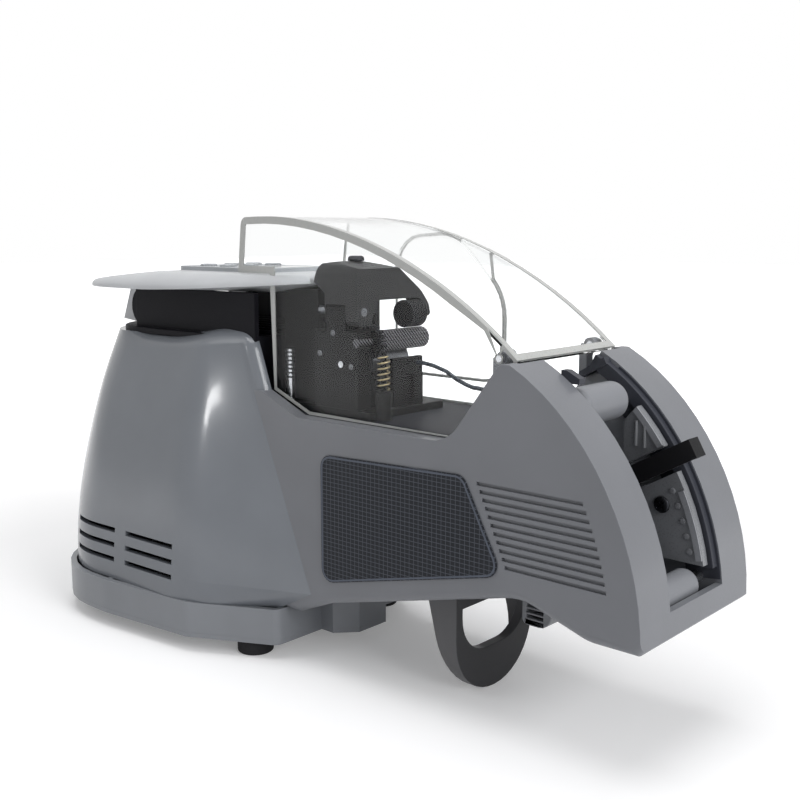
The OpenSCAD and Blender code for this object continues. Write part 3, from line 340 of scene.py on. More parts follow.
@dataclass(frozen=True)
class Grained(Finish):
    """A surface with a grain in its roughness and relief, and slow or fine changes of tone."""

    roughness: float = 0.42
    uneven: Pair = (0.05, 0.05)
    shades: Pair = (0.95, 1.05)
    clouds: float = 26.0
    grain: float = 1500.0
    detail: float = 2.0
    lines: Triple = (1.0, 1.0, 1.0)
    relief: float = 0.06
    depth: float = 0.2
    metallic: float = 0.0
    gloss: float = 0.3
    coat: float = 0.0
    # Tone painted on the faces that look along X, as painted shade.
    front: Optional[Colour] = None

    def paint(self, graph: Graph) -> None:
        """Build the nodes of the surface.

        Args:
            graph: Graph of its material.
        """
        grain = graph.noise(self.grain, self.detail, self.lines)
        clouds = graph.noise(self.clouds, detail=4.0) if self.clouds else grain
        colour = graph.ramp(clouds, *(self.shade(share) for share in self.shades))
        # Painted shade: faces that look to the nose take the darker front tone.
        if self.front:
            colour = graph.paint_front_shade(colour, linear(self.front))
        less, more = self.uneven
        graph.relief(grain, self.relief, self.depth)
        rough = graph.span(grain, self.roughness - less, self.roughness + more)
        graph.set(Base_Color=colour, Roughness=rough, Metallic=self.metallic, Specular_IOR_Level=self.gloss,
                  IOR=1.5, Coat_Weight=self.coat, Coat_Roughness=0.08)


@dataclass(frozen=True)
class Plastic(Grained):
    """Injection-moulded plastic."""


@dataclass(frozen=True)
class Metal(Grained):
    """Turned or brushed metal with fine lines along one axis."""

    roughness: float = 0.28
    uneven: Pair = (0.08, 0.1)
    shades: Pair = (0.85, 1.0)
    clouds: float = 0.0
    grain: float = 700.0
    detail: float = 4.0
    lines: Triple = (1.0, 30.0, 1.0)
    relief: float = 0.08
    depth: float = 0.1
    metallic: float = 1.0
    gloss: float = 0.5


@dataclass(frozen=True)
class Rubber(Grained):
    """Matt rubber with a coarse grain."""

    roughness: float = 0.75
    uneven: Pair = (0.1, 0.1)
    shades: Pair = (0.8, 1.0)
    clouds: float = 0.0
    grain: float = 900.0
    detail: float = 5.0
    depth: float = 0.3
    gloss: float = 0.15


@dataclass(frozen=True)
class KnurledMetal(Finish):
    """Dark metal with slanting cut lines."""

    line: Colour
    pitch: float = 1.5
    ends: Pair = (0.45, 0.75)
    relief: float = 0.4
    depth: float = 0.3

    def paint(self, graph: Graph) -> None:
        """Build the nodes of the knurl.

        Args:
            graph: Graph of its material.
        """
        waves = {"Vector": graph.coords, "Scale": 0.5 / (self.pitch * MM), "Distortion": 0.0}
        cut = graph.add("TexWave", waves, bands_direction="DIAGONAL").outputs["Fac"]
        graph.relief(cut, self.relief, self.depth)
        graph.set(Base_Color=graph.ramp(cut, linear(self.tone), linear(self.line), self.ends), Metallic=0.6,
                  Roughness=0.4, Specular_IOR_Level=0.2)


@dataclass(frozen=True)
class ClearSheet(Finish):
    """Clear moulded sheet with a faint haze."""

    roughness: float = 0.02
    haze: float = 0.03
    clouds: float = 40.0
    bend: float = 1.18

    def paint(self, graph: Graph) -> None:
        """Build the nodes of the sheet in a graph."""
        rough = graph.span(graph.noise(self.clouds), self.roughness, self.roughness + self.haze)
        graph.set(Base_Color=linear(self.tone), Transmission_Weight=1.0, IOR=self.bend, Roughness=rough)


@dataclass(frozen=True)
class GridFilm(Finish):
    """Dark printed film with a fine grid of thin lines."""

    line: Colour
    line_w: float = 0.13
    cell: Pair = (2.5, 2.0)
    roughness: Pair = (0.3, 0.4)
    grain: float = 500.0

    def paint(self, graph: Graph) -> None:
        """Build the nodes of the film.

        Args:
            graph: Graph of its material.
        """
        split = graph.add("SeparateXYZ", {"Vector": graph.coords}).outputs
        flat = graph.add("CombineXYZ", {"X": split["X"], "Y": split["Z"]}).outputs["Vector"]
        tone = linear(self.tone)
        lines = {"Mortar": linear(self.line), "Mortar Size": self.line_w * MM, "Mortar Smooth": 0.2}
        sizes = {"Scale": 1.0, "Brick Width": self.cell[0] * MM, "Row Height": self.cell[1] * MM}
        faces = {"Vector": flat, "Color1": tone, "Color2": tone}
        cells = graph.add("TexBrick", {**faces, **lines, **sizes}, offset=0.0)
        graph.relief(cells.outputs["Fac"], strength=0.1, depth=0.1)
        rough = graph.span(graph.noise(self.grain), *self.roughness)
        graph.set(Base_Color=cells.outputs["Color"], Roughness=rough, Specular_IOR_Level=0.12)


SHELL = Plastic("shell_grey_moulding", Slot.SHELL, (110, 112, 117), roughness=0.36, coat=0.15)
BASE = Plastic("base_grey_moulding", Slot.SHELL, (124, 127, 132), roughness=0.36, coat=0.15)
PEDESTAL = Plastic("pedestal_satin_moulding", Slot.SHELL, (108, 112, 118), roughness=0.2, relief=0.02,
                   coat=0.3)
# The leg's faces that look to the nose get a darker tone: painted shade from the arm above.
LEG = Plastic("leg_charcoal_moulding_front_painted_shade", Slot.SHELL, (94, 94, 96), roughness=0.45, gloss=0.15,
              front=(54, 54, 56))
POD = Plastic("vent_housing_moulding", Slot.SHELL, (140, 142, 146), roughness=0.45)
CONSOLE = Plastic("console_pale_moulding", Slot.PALE, (186, 188, 191), roughness=0.38, coat=0.1)
ROLLER = Plastic("roller_pale_moulding", Slot.PALE, (122, 124, 129), roughness=0.4)
KEYS = Plastic("key_pale_moulding", Slot.PALE, (176, 179, 183), roughness=0.45)
PANEL = Plastic("panel_grey_moulding", Slot.DARK, (172, 175, 179), roughness=0.4)
TRIM = Plastic("bay_dark_moulding", Slot.DARK, (54, 56, 63), roughness=0.38, gloss=0.15)
PLATE = Plastic("guide_plate_moulding", Slot.DARK, (112, 114, 118), roughness=0.3, relief=0.02, coat=0.25)
RAIL = Plastic("guide_rail_moulding", Slot.DARK, (130, 132, 137), roughness=0.3, relief=0.02, coat=0.25)
SWITCH = Plastic("switch_moulding", Slot.DARK, (60, 62, 66), roughness=0.4)
BLACK = Plastic("black_moulding", Slot.BLACK, (22, 22, 24), gloss=0.1)
TRAY = Plastic("deck_tray_moulding", Slot.BLACK, (46, 47, 52), roughness=0.5, gloss=0.06)
DRUM = Plastic("neck_black_moulding", Slot.BLACK, (22, 22, 26), roughness=0.5, gloss=0.06)
HEAD = Plastic("head_charcoal_moulding", Slot.BLACK, (27, 27, 28), relief=0.0, gloss=0.1)
PRESS = Plastic("press_arm_moulding", Slot.BLACK, (48, 48, 49), relief=0.0, gloss=0.12)
LABEL = GridFilm("label_grid_film", Slot.LABEL, (35, 37, 42), (80, 84, 92))
LABEL_RIM = Plastic("label_rim_print", Slot.LABEL, (74, 80, 92), roughness=0.4)
LENS = Plastic("display_lens_film", Slot.LABEL, (16, 18, 22), roughness=0.12, coat=0.6)
RUBBER = Rubber("black_rubber", Slot.RUBBER, (40, 40, 42))
CABLE = Rubber("cable_jacket", Slot.RUBBER, (62, 68, 76), roughness=0.5)
STEEL = Metal("turned_steel", Slot.STEEL, (196, 198, 202))
DARK_STEEL = Metal("blackened_steel", Slot.STEEL, (52, 53, 57), roughness=0.36)
DULL_STEEL = Metal("dull_steel", Slot.STEEL, (120, 122, 126), roughness=0.4)
BRASS = Metal("spring_brass", Slot.BRASS, (176, 162, 128), roughness=0.3, lines=(1.0, 1.0, 12.0))
KNURL = KnurledMetal("knurled_roller", Slot.RUBBER, (34, 34, 38), (128, 128, 132))
CLEAR = ClearSheet("clear_cover_sheet", Slot.CLEAR, (252, 253, 253))
# Opaque pale band on the clear sheet's thick edges: the edge is real, and its paleness is painted sheen,
# light caught in the clear edge.
CLEAR_EDGE_SHEEN = Plastic("clear_sheet_edge_painted_sheen", Slot.CLEAR, (172, 173, 171), roughness=0.3, coat=0.4)
BOARD = Plastic("circuit_board", Slot.BOARD, (36, 92, 58), roughness=0.5)


class Form:
    """A mesh under construction, in metres."""

    WELD: ClassVar[float] = 2e-6
    FLAT: ClassVar[float] = math.radians(0.5)

    def __init__(self) -> None:
        """Start empty."""
        self.bm = bmesh.new()

    @classmethod
    def of_node(cls, node: str) -> "Form":
        """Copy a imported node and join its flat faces.

        Args:
            node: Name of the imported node.

        Returns:
            The copy.
        """
        form = cls()
        bm = form.bm
        bm.from_mesh(frame["nodes"][node].data)
        form.weld(cls.WELD)
        bmesh.ops.dissolve_limit(bm, angle_limit=cls.FLAT, verts=bm.verts[:], edges=bm.edges[:])
        return form

    def weld(self, gap: float) -> None:
        """Join points that lie closer than a gap in metres."""
        bmesh.ops.remove_doubles(self.bm, verts=self.bm.verts[:], dist=gap)

    def soften(self, width: float, segments: int = 2,
               pick: Optional[Callable[[Edge], bool]] = None, angle: float = 30.0) -> "Form":
        """Round edges over.

        Args:
            width: Width of the rounding in millimetres.
            segments: Steps of the rounding.
            pick: Test that an edge passes to be rounded.
            angle: Least turn of an edge in degrees.

        Returns:
            The form itself.
        """
        limit = math.radians(angle)
        chosen = [e for e in self.bm.edges if len(e.link_faces) == 2 and e.calc_face_angle(0.0) > limit
                  and (pick is None or pick(e))]
        if chosen:
            bmesh.ops.bevel(self.bm, geom=chosen, offset=width * MM, offset_type="OFFSET", segments=segments,
                            profile=0.5, affect="EDGES", clamp_overlap=True, loop_slide=True)
        return self

    def grid(self, rows: Sequence[Sequence[Point]], closed: bool = False) -> list[list[bmesh.types.BMVert]]:
        """Skin between rows of points.

        Args:
            rows: Rows of points in millimetres, all of one length.
            closed: True where each row is a loop.

        Returns:
            The vertices, row by row.
        """
        verts = [[self.bm.verts.new(Vector(p) * MM) for p in row] for row in rows]
        n = len(rows[0])
        for a, b in zip(verts, verts[1:]):
            for j in range(n if closed else n - 1):
                k = (j + 1) % n
                self.bm.faces.new((a[j], a[k], b[k], b[j]))
        return verts

    def loft(self, rows: Sequence[Sequence[Point]]) -> "Form":
        """Skin between loops of points and close both ends.

        Args:
            rows: Loops in millimetres, all of one length.

        Returns:
            The form itself.
        """
        verts = self.grid(rows, closed=True)
        self.bm.faces.new(list(reversed(verts[0])))
        self.bm.faces.new(verts[-1])
        return self

    def tube(self, path: Sequence[Point], radius: float, sides: int = 10) -> "Form":
        """Add a round tube with closed ends.

        Args:
            path: Points of its middle line in millimetres.
            radius: Radius in millimetres.
            sides: Sides of its section.

        Returns:
            The form itself.
        """
        steep = 0.9
        points = [Vector(p) for p in path]
        rings = []
        side = None
        for i, p in enumerate(points):
            along = (points[min(i + 1, len(points) - 1)] - points[max(i - 1, 0)]).normalized()
            if side is None:
                side = along.cross(Vector((0, 0, 1)) if abs(along.z) < steep else Vector((1, 0, 0)))
            side = (side - along * side.dot(along)).normalized()
            rings.append(circle(p, side, side.cross(along), radius, sides))
        return self.loft(rings)

    def turned(self, profile: Sequence[Pair], foot: Point, axis: Point, sides: int = 32) -> "Form":
        """Add a turned solid.

        Args:
            profile: Pairs of radius and height in millimetres, from the foot up.
            foot: Place of height 0.
            axis: Direction of the height.
            sides: Sides of its section.

        Returns:
            The form itself.
        """
        up = Vector(axis).normalized()
        side = up.orthogonal().normalized()
        return self.loft([circle(Vector(foot) + up * h, side, up.cross(side), r, sides) for r, h in profile])

    def block(self, low: Point, high: Point) -> "Form":
        """Add a box between its lowest and its highest corner in millimetres."""
        for v in bmesh.ops.create_cube(self.bm, size=1.0)["verts"]:
            v.co = Vector([mix(a, b, c + 0.5) * MM for a, b, c in zip(low, high, v.co)])
        return self

    def slab(self, outline: Sequence[Pair], ends: Pair) -> "Form":
        """Add a solid with an outline in X and Z between two Y values, in millimetres."""
        return self.loft([[(x, y, z) for x, z in outline] for y in sorted(ends)])

    def ribbon(self, line: np.ndarray, thick: float, ends: Pair) -> "Form":
        """Add a band along a line in X and Z, grown to its left, from one Y value to a higher one."""
        low, high = ends
        return self.loft([[(a[0], low, a[1]), (a[0], high, a[1]), (b[0], high, b[1]), (b[0], low, b[1])]
                          for a, b in zip(line, beside(line, thick))])

    def hoop(self, outer: np.ndarray, inner: np.ndarray, ends: Pair) -> "Form":
        """Add a flat frame between two loops.

        Args:
            outer: Points in X and Z in millimetres.
            inner: As many points inside them.
            ends: Its two Y values.

        Returns:
            The form itself.
        """
        low, high = sorted(ends)
        self.grid([[(x, y, z) for x, z in loop] for loop, y in
                   ((outer, low), (inner, low), (inner, high), (outer, high), (outer, low))], closed=True)
        self.weld(self.WELD)
        return self

    def cut(self, tool: "Form") -> None:
        """Take another form out of this one.

        Args:
            tool: The other form.
        """
        body = add_object("cut_body", self.mesh("cut_body"))
        knife = add_object("cut_tool", tool.mesh("cut_tool"))
        step = body.modifiers.new("cut", "BOOLEAN")
        step.operation, step.solver, step.object = "DIFFERENCE", "EXACT", knife
        result = body.evaluated_get(bpy.context.evaluated_depsgraph_get()).to_mesh()
        self.bm.clear()
        self.bm.from_mesh(result)
        for obj in (body, knife):
            mesh = obj.data
            bpy.data.objects.remove(obj)
            bpy.data.meshes.remove(mesh)

    def mesh(self, name: str) -> bpy.types.Mesh:
        """Give the form as a mesh with faces turned outwards.

        Args:
            name: Name of the mesh.

        Returns:
            The mesh.
        """
        bmesh.ops.recalc_face_normals(self.bm, faces=self.bm.faces[:])
        mesh = bpy.data.meshes.new(name)
        self.bm.to_mesh(mesh)
        return mesh

    def piece(self, name: str, finish: Finish, body: str, nodes: Iterable[str] = (), crease: float = 35.0,
              weighted: bool = True) -> None:
        """Make the form a piece of the object.

        Args:
            name: Name of the piece.
            finish: Its finish.
            body: Body that it rides on.
            nodes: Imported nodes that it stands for.
            crease: Angle in degrees above which an edge stays sharp.
            weighted: True to let large faces set the shading.
        """
        bmesh.ops.recalc_face_normals(self.bm, faces=self.bm.faces[:])
        limit = math.radians(crease)
        for face in self.bm.faces:
            face.smooth = True
        for edge in self.bm.edges:
            edge.smooth = len(edge.link_faces) == 2 and edge.calc_face_angle(0.0) < limit
        mesh = self.mesh(name)
        self.bm.free()
        obj = add_object(name, mesh)
        mesh.materials.append(finish.material())
        if weighted:
            obj.modifiers.new("even_shading", "WEIGHTED_NORMAL").keep_sharp = True
        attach(obj, body)
        if nodes:
            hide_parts(*nodes)
        log.info("%s: %d faces on %s", name, len(mesh.polygons), body)


def mould(node: str, finish: Finish, width: float, segments: int = 2, angle: float = 30.0,
          crease: float = 35.0) -> None:
    """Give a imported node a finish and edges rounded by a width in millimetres, as soften and piece do."""
    form = Form.of_node(node).soften(width, segments, lambda e: e.is_convex, angle)
    form.piece(f"{node}.moulded", finish, BODY_OF[node], [node], crease)


def outline_of(node: str, side: int) -> np.ndarray:
    """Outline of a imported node's flat side.

    Args:
        node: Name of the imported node.
        side: -1 for the near side, 1 for the far one.

    Returns:
        Points in X and Z in millimetres, counter-clockwise.
    """
    level = 2e-5
    form = Form.of_node(node)
    edge_y = side * max(side * v.co.y for v in form.bm.verts)
    flat = [f for f in form.bm.faces if all(abs(v.co.y - edge_y) < level for v in f.verts)]
    most = max(flat, key=lambda f: f.calc_area())
    loop = np.array([(v.co.x / MM, v.co.z / MM) for v in most.verts])
    form.bm.free()
    turn = np.sum(loop[:, 0] * np.roll(loop[:, 1], -1) - np.roll(loop[:, 0], -1) * loop[:, 1])
    return loop if turn > 0 else loop[::-1].copy()


def dress(node: str, finish: Finish) -> None:
    """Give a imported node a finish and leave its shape.

    Args:
        node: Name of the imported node.
        finish: Its finish.
    """
    materials = frame["nodes"][node].data.materials
    materials.clear()
    materials.append(finish.material())
    log.info("%s: as packed", node)


@dataclass(frozen=True)
class Screw:
    """A domed screw with a cross recess."""

    radius: float
    height: float
    shank: float = 0.0
    shank_r: float = 1.5
    shank_in: float = 0.01
    dome: float = math.radians(78.0)
    dome_steps: int = 6
    # Shares of the head's radius or height.
    seat_r: float = 0.94
    seat_h: float = 0.12
    rim_h: float = 0.35
    cross_l: float = 0.55
    cross_w: float = 0.13
    cross_h: Pair = (0.45, 1.5)

    def build(self, name: str, place: Point, axis: Point, finish: Finish, nodes: Iterable[str] = ()) -> None:
        """Make the screw on the frame.

        Args:
            name: Name of the piece.
            place: Middle of the head's seat.
            axis: Direction out of the head.
            finish: Its finish.
            nodes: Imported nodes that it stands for.
        """
        up = Vector(axis).normalized()
        foot = Vector(place)
        r, h = self.radius, self.height
        dome = [(r * math.cos(a), h * mix(self.rim_h, 1.0, math.sin(a)))
                for a in np.linspace(0, self.dome, self.dome_steps + 1)]
        head = Form().turned([(r * self.seat_r, 0.0), (r, h * self.seat_h)] + dome, foot, up)
        side = up.orthogonal().normalized()
        across = up.cross(side)
        arm, half = r * self.cross_l, r * self.cross_w
        cross = [(u * c - v * s, u * s + v * c) for c, s in ((1, 0), (0, 1), (-1, 0), (0, -1))
                 for u, v in ((arm, half), (half, half), (half, arm))]
        rows = [[foot + up * h * t + side * u + across * v for u, v in cross] for t in self.cross_h]
        head.cut(Form().loft(rows))
        if self.shank:
            head.turned([(self.shank_r, -self.shank), (self.shank_r, self.shank_in)], foot, up, sides=24)
        head.piece(name, finish, "frame", nodes, crease=40.0)


@dataclass
class Base:
    """Feet, plinth and what sits in its front."""

    top_z: float = 26.0
    middle_x: float = -85.0
    edge_w: float = 2.2
    upright: float = 0.1

    def outer_top(self, edge: Edge) -> bool:
        """Tell the outer edge round the plinth's top.

        Args:
            edge: Edge of the plinth.

        Returns:
            True for a part of that edge.
        """
        if any(abs(v.co.z / MM - self.top_z) > TOUCH for v in edge.verts):
            return False
        mid = sum((v.co for v in edge.verts), Vector()) / 2 - Vector((self.middle_x * MM, 0, 0))
        return any(abs(f.normal.z) < self.upright and f.normal.xy.dot(mid.xy) > 0 for f in edge.link_faces)

    def build(self) -> None:
        """Make the pieces of the base."""
        plinth = Form.of_node("plinth").soften(self.edge_w, segments=3, pick=self.outer_top)
        plinth.piece("plinth.moulded", BASE, "frame", ["plinth"], crease=40.0)
        mould("base_plate", BASE, width=0.5)
        mould("feet", RUBBER, width=1.2, segments=3)
        dress("base_screws", STEEL)
        mould("power_inlet", BLACK, width=0.4)
        mould("switch_frame", BLACK, width=0.3)
        mould("power_switch", SWITCH, width=0.3)


@dataclass
class Pedestal:
    """The rounded shell on the plinth and what it holds."""

    foot_z: float = 26.0
    height: float = 130.0
    front_x: float = 15.0
    lean: float = 0.4075
    toe_x: float = -11.0
    toe_h: float = 11.3
    back_x: float = -181.0
    back_lean: float = 22.0
    arm_w: float = 90.0
    # Up to side_in these are values at the foot and at the rim.
    width: Pair = (154.0, 100.0)
    corner_r: Pair = (55.0, 40.0)
    side_r: Pair = (70.0, 40.0)
    side_x: Pair = (-50.0, -60.6)
    side_in: Pair = (5.0, 1.0)
    bulge: float = 1.6
    wall: float = 3.0
    deck_z: float = 121.0
    edge_r: float = 6.0
    edge_from: float = 0.02
    edge_h: float = 8.0
    flange_y: float = 38.8
    shoulder_r: float = 8.0
    shoulder_l: float = 30.0
    rim_r: float = 8.0
    roll_x: Pair = (-131.0, -106.0)
    dip: float = 2.2
    peak: float = 5.3
    peak_x: Pair = (-95.0, -42.0)
    rows: tuple[int, int, int] = (34, 14, 11)
    columns: int = 150
    arc_steps: int = 24
    edge_steps: int = 8
    weld: float = 5e-6
    vent_x: Pair = (-99.5, -146.5)
    vent_y: Pair = (50.0, 90.0)
    vent_z: Triple = (35.2, 42.9, 50.6)
    vent_l: float = 38.0
    vent_h: float = 2.6

    def arc(self, a: np.ndarray, p: np.ndarray, b: np.ndarray, r: float) -> list[np.ndarray]:
        """Round a corner with an arc.

        Args:
            a: Corner before it.
            p: The corner.
            b: Corner after it.
            r: Radius of the arc.

        Returns:
            Points of the arc.
        """
        u, v = (a - p) / np.linalg.norm(a - p), (b - p) / np.linalg.norm(b - p)
        half = math.acos(max(-1.0, min(1.0, float(u @ v)))) / 2
        centre = p + (u + v) / np.linalg.norm(u + v) * r / math.sin(half)
        first = p + u * r / math.tan(half) - centre
        turn = (-1 if u[0] * v[1] - u[1] * v[0] > 0 else 1) * (math.pi - 2 * half)
        start = math.atan2(first[1], first[0])
        angles = [start + turn * i / self.arc_steps for i in range(self.arc_steps + 1)]
        return [centre + r * np.array([math.cos(t), math.sin(t)]) for t in angles]

    def crease(self, z: float) -> float:
        """X of the edge where the shell meets the arm, at a height."""
        line = self.front_x - self.lean * (max(z, self.foot_z + self.toe_h) - self.foot_z)
        return mix(self.toe_x, line, min(1.0, (z - self.foot_z) / self.toe_h))

    def run(self, z: float, thin: float) -> np.ndarray:
        """Open outline at a height, from the far front edge round the back to the near one.

        Args:
            z: Height.
            thin: How far the outline lies inside the outer face.

        Returns:
            Points in X and Y, evenly spread.
        """
        u = (z - self.foot_z) / self.height
        e = u ** self.bulge
        half = mix(*self.width, e) / 2 - thin
        corners = [(self.crease(z), self.arm_w / 2 - thin, 0.0),
                   (mix(*self.side_x, u), half - mix(*self.side_in, u), mix(*self.side_r, u)),
                   (self.back_x + self.back_lean * e + thin, half, mix(*self.corner_r, u) - thin)]
        loop = corners + [(x, -y, r) for x, y, r in reversed(corners)]
        places = [np.array(corner[:2]) for corner in loop]
        points: list[np.ndarray] = []
        for i, (_, _, r) in enumerate(loop):
            after = places[(i + 1) % len(loop)]
            points += self.arc(places[i - 1], places[i], after, r) if r else [places[i]]
        return spread(np.array(points), self.columns)

    def row(self, z: float, thin: float) -> list[Triple]:
        """Points of the shell at a height, with the rounded shoulder and rim.

        Args:
            z: Height.
            thin: How far the points lie inside the outer face.

        Returns:
            The points.
        """
        front = self.crease(z)
        top = self.foot_z + self.height
        drop, roll = (r * (1 - math.sqrt(max(0.0, 1 - (max(0.0, z - (top - r)) / r) ** 2)))
                      for r in (self.shoulder_r, self.rim_r))
        points = []
        for x, y in self.run(z, thin):
            inward = roll * ease(*self.roll_x, x)
            rise = (self.peak * ease(*self.peak_x, x) - self.dip) * ease(self.deck_z, top, z)
            back = drop * ease(front - self.shoulder_l, front, x)
            points.append((x - back, y - math.copysign(inward, y), z + rise))
        return points

    def flange(self, end: Point, thin: float) -> list[Triple]:
        """Points of the front edge that turns in from an end of a row.

        Args:
            end: The row's end.
            thin: How far the points lie inside the outer face.

        Returns:
            Points from the end inwards.
        """
        x, y, z = end
        side = math.copysign(1.0, y)
        r = (self.edge_r - thin) * max(ease(self.deck_z, self.deck_z + self.edge_h, z), self.edge_from)
        angles = np.linspace(0, QUARTER, self.edge_steps + 1)
        turn = [(x + r * math.sin(a), y - side * r * (1 - math.cos(a)), z) for a in angles]
        last = turn[-1]
        return turn + [(last[0], side * min(abs(last[1]) - TOUCH, self.flange_y), z)]

    def heights(self) -> list[float]:
        """Choose the heights of the rows, closer together at the rim.

        Returns:
            The heights, from the foot up.
        """
        low, middle, high = self.rows
        rim = self.foot_z + self.height - self.rim_r
        levels = [np.linspace(self.foot_z, self.deck_z, low), np.linspace(self.deck_z, rim, middle)[1:],
                  rim + self.rim_r * np.sin(np.linspace(0, QUARTER, high)[1:]), [self.foot_z + self.toe_h]]
        return sorted({float(z) for group in levels for z in group})

    def build(self) -> None:
        """Make the shell with its vents and dress the inside."""
        levels = self.heights()
        shell = Form()
        skins = []
        for thin in (0.0, self.wall):
            rows = [self.row(z, thin) for z in levels]
            skins.append(shell.grid(rows))
            for end in (0, -1):
                shell.grid([self.flange(r[end], thin) for r in rows if r[0][2] >= self.deck_z - TOUCH])
        outer, inner = skins
        for a, b in ((outer[0], inner[0]), (outer[-1], inner[-1])):
            for i in range(len(a) - 1):
                shell.bm.faces.new((a[i], a[i + 1], b[i + 1], b[i]))
        shell.weld(self.weld)
        bmesh.ops.holes_fill(shell.bm, edges=[e for e in shell.bm.edges if e.is_boundary], sides=0)
        slots = Form()
        for side in SIDES:
            low, high = sorted(side * y for y in self.vent_y)
            for x in self.vent_x:
                for z in self.vent_z:
                    slots.block((x, low, z), (x + self.vent_l, high, z + self.vent_h))
        shell.cut(slots)
        shell.piece("pedestal_shell.moulded", PEDESTAL, "frame", ["pedestal_shell"], crease=38.0,
                    weighted=False)
        dress("power_supply", STEEL)
        dress("main_board", BOARD)


@dataclass
class Arm:
    """The two halves of the arm, its label, leg and vent housing."""

    half_w: float = 45.0
    edge_w: float = 2.4
    low_edge_w: float = 4.5
    fine_w: float = 0.35
    fine_l: float = 0.8
    crease_gap: float = 0.8
    wall_w: float = 3.0
    wall_tilt: float = 0.3
    under_tilt: float = -0.6
    rim_w: float = 0.8
    rim_in: float = 0.5
    rim_y: Pair = (-0.1, 0.2)

    def half(self, node: str) -> None:
        """Make one half of the arm with wide rounded outer edges.

        Args:
            node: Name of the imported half.
        """
        form = Form.of_node(node)
        crease = Pedestal().crease

        def outer(edge: Edge) -> bool:
            """Tell an edge of the outer side that doesn't lie on the crease.

            Args:
                edge: Edge of the half.

            Returns:
                True for such an edge.
            """
            if any(abs(abs(v.co.y) / MM - self.half_w) > TOUCH for v in edge.verts):
                return False
            if all(abs(v.co.x / MM - crease(v.co.z / MM)) < self.crease_gap for v in edge.verts):
                return False
            walls = [[v.co.y for v in f.verts] for f in edge.link_faces if abs(f.normal.y) < self.wall_tilt]
            return any(max(ys) - min(ys) > self.wall_w * MM for ys in walls)

        def under(edge: Edge) -> bool:
            """True for an outer edge on the underside."""
            return outer(edge) and any(f.normal.z < self.under_tilt for f in edge.link_faces)

        form.soften(self.low_edge_w, segments=5, pick=under)
        form.soften(self.edge_w, segments=4, pick=outer)
        form.soften(self.fine_w, pick=lambda e: e.calc_length() > self.fine_l * MM, angle=50.0)
        form.piece(f"{node}.moulded", SHELL, "frame", [node], crease=38.0)

    def build(self) -> None:
        """Make the arm."""
        self.half("arm_shell_near")
        self.half("arm_shell_far")
        mould("label_plate", LABEL, width=0.25)
        mould("front_leg", LEG, width=0.8, segments=3)
        mould("vent_housing", POD, width=0.5)
        self.rim()

    def rim(self) -> None:
        """Lay the label's pale rim on its edge."""
        loop = outline_of("label_plate", -1)
        face_y = min(v.co.y / MM for v in frame["nodes"]["label_plate"].data.vertices)
        low, high = self.rim_y
        gaps = np.full(len(loop), self.rim_in)
        rim = Form().hoop(inside(loop, gaps), inside(loop, gaps + self.rim_w), (face_y + low, face_y + high))
        rim.piece("label_rim", LABEL_RIM, "frame")


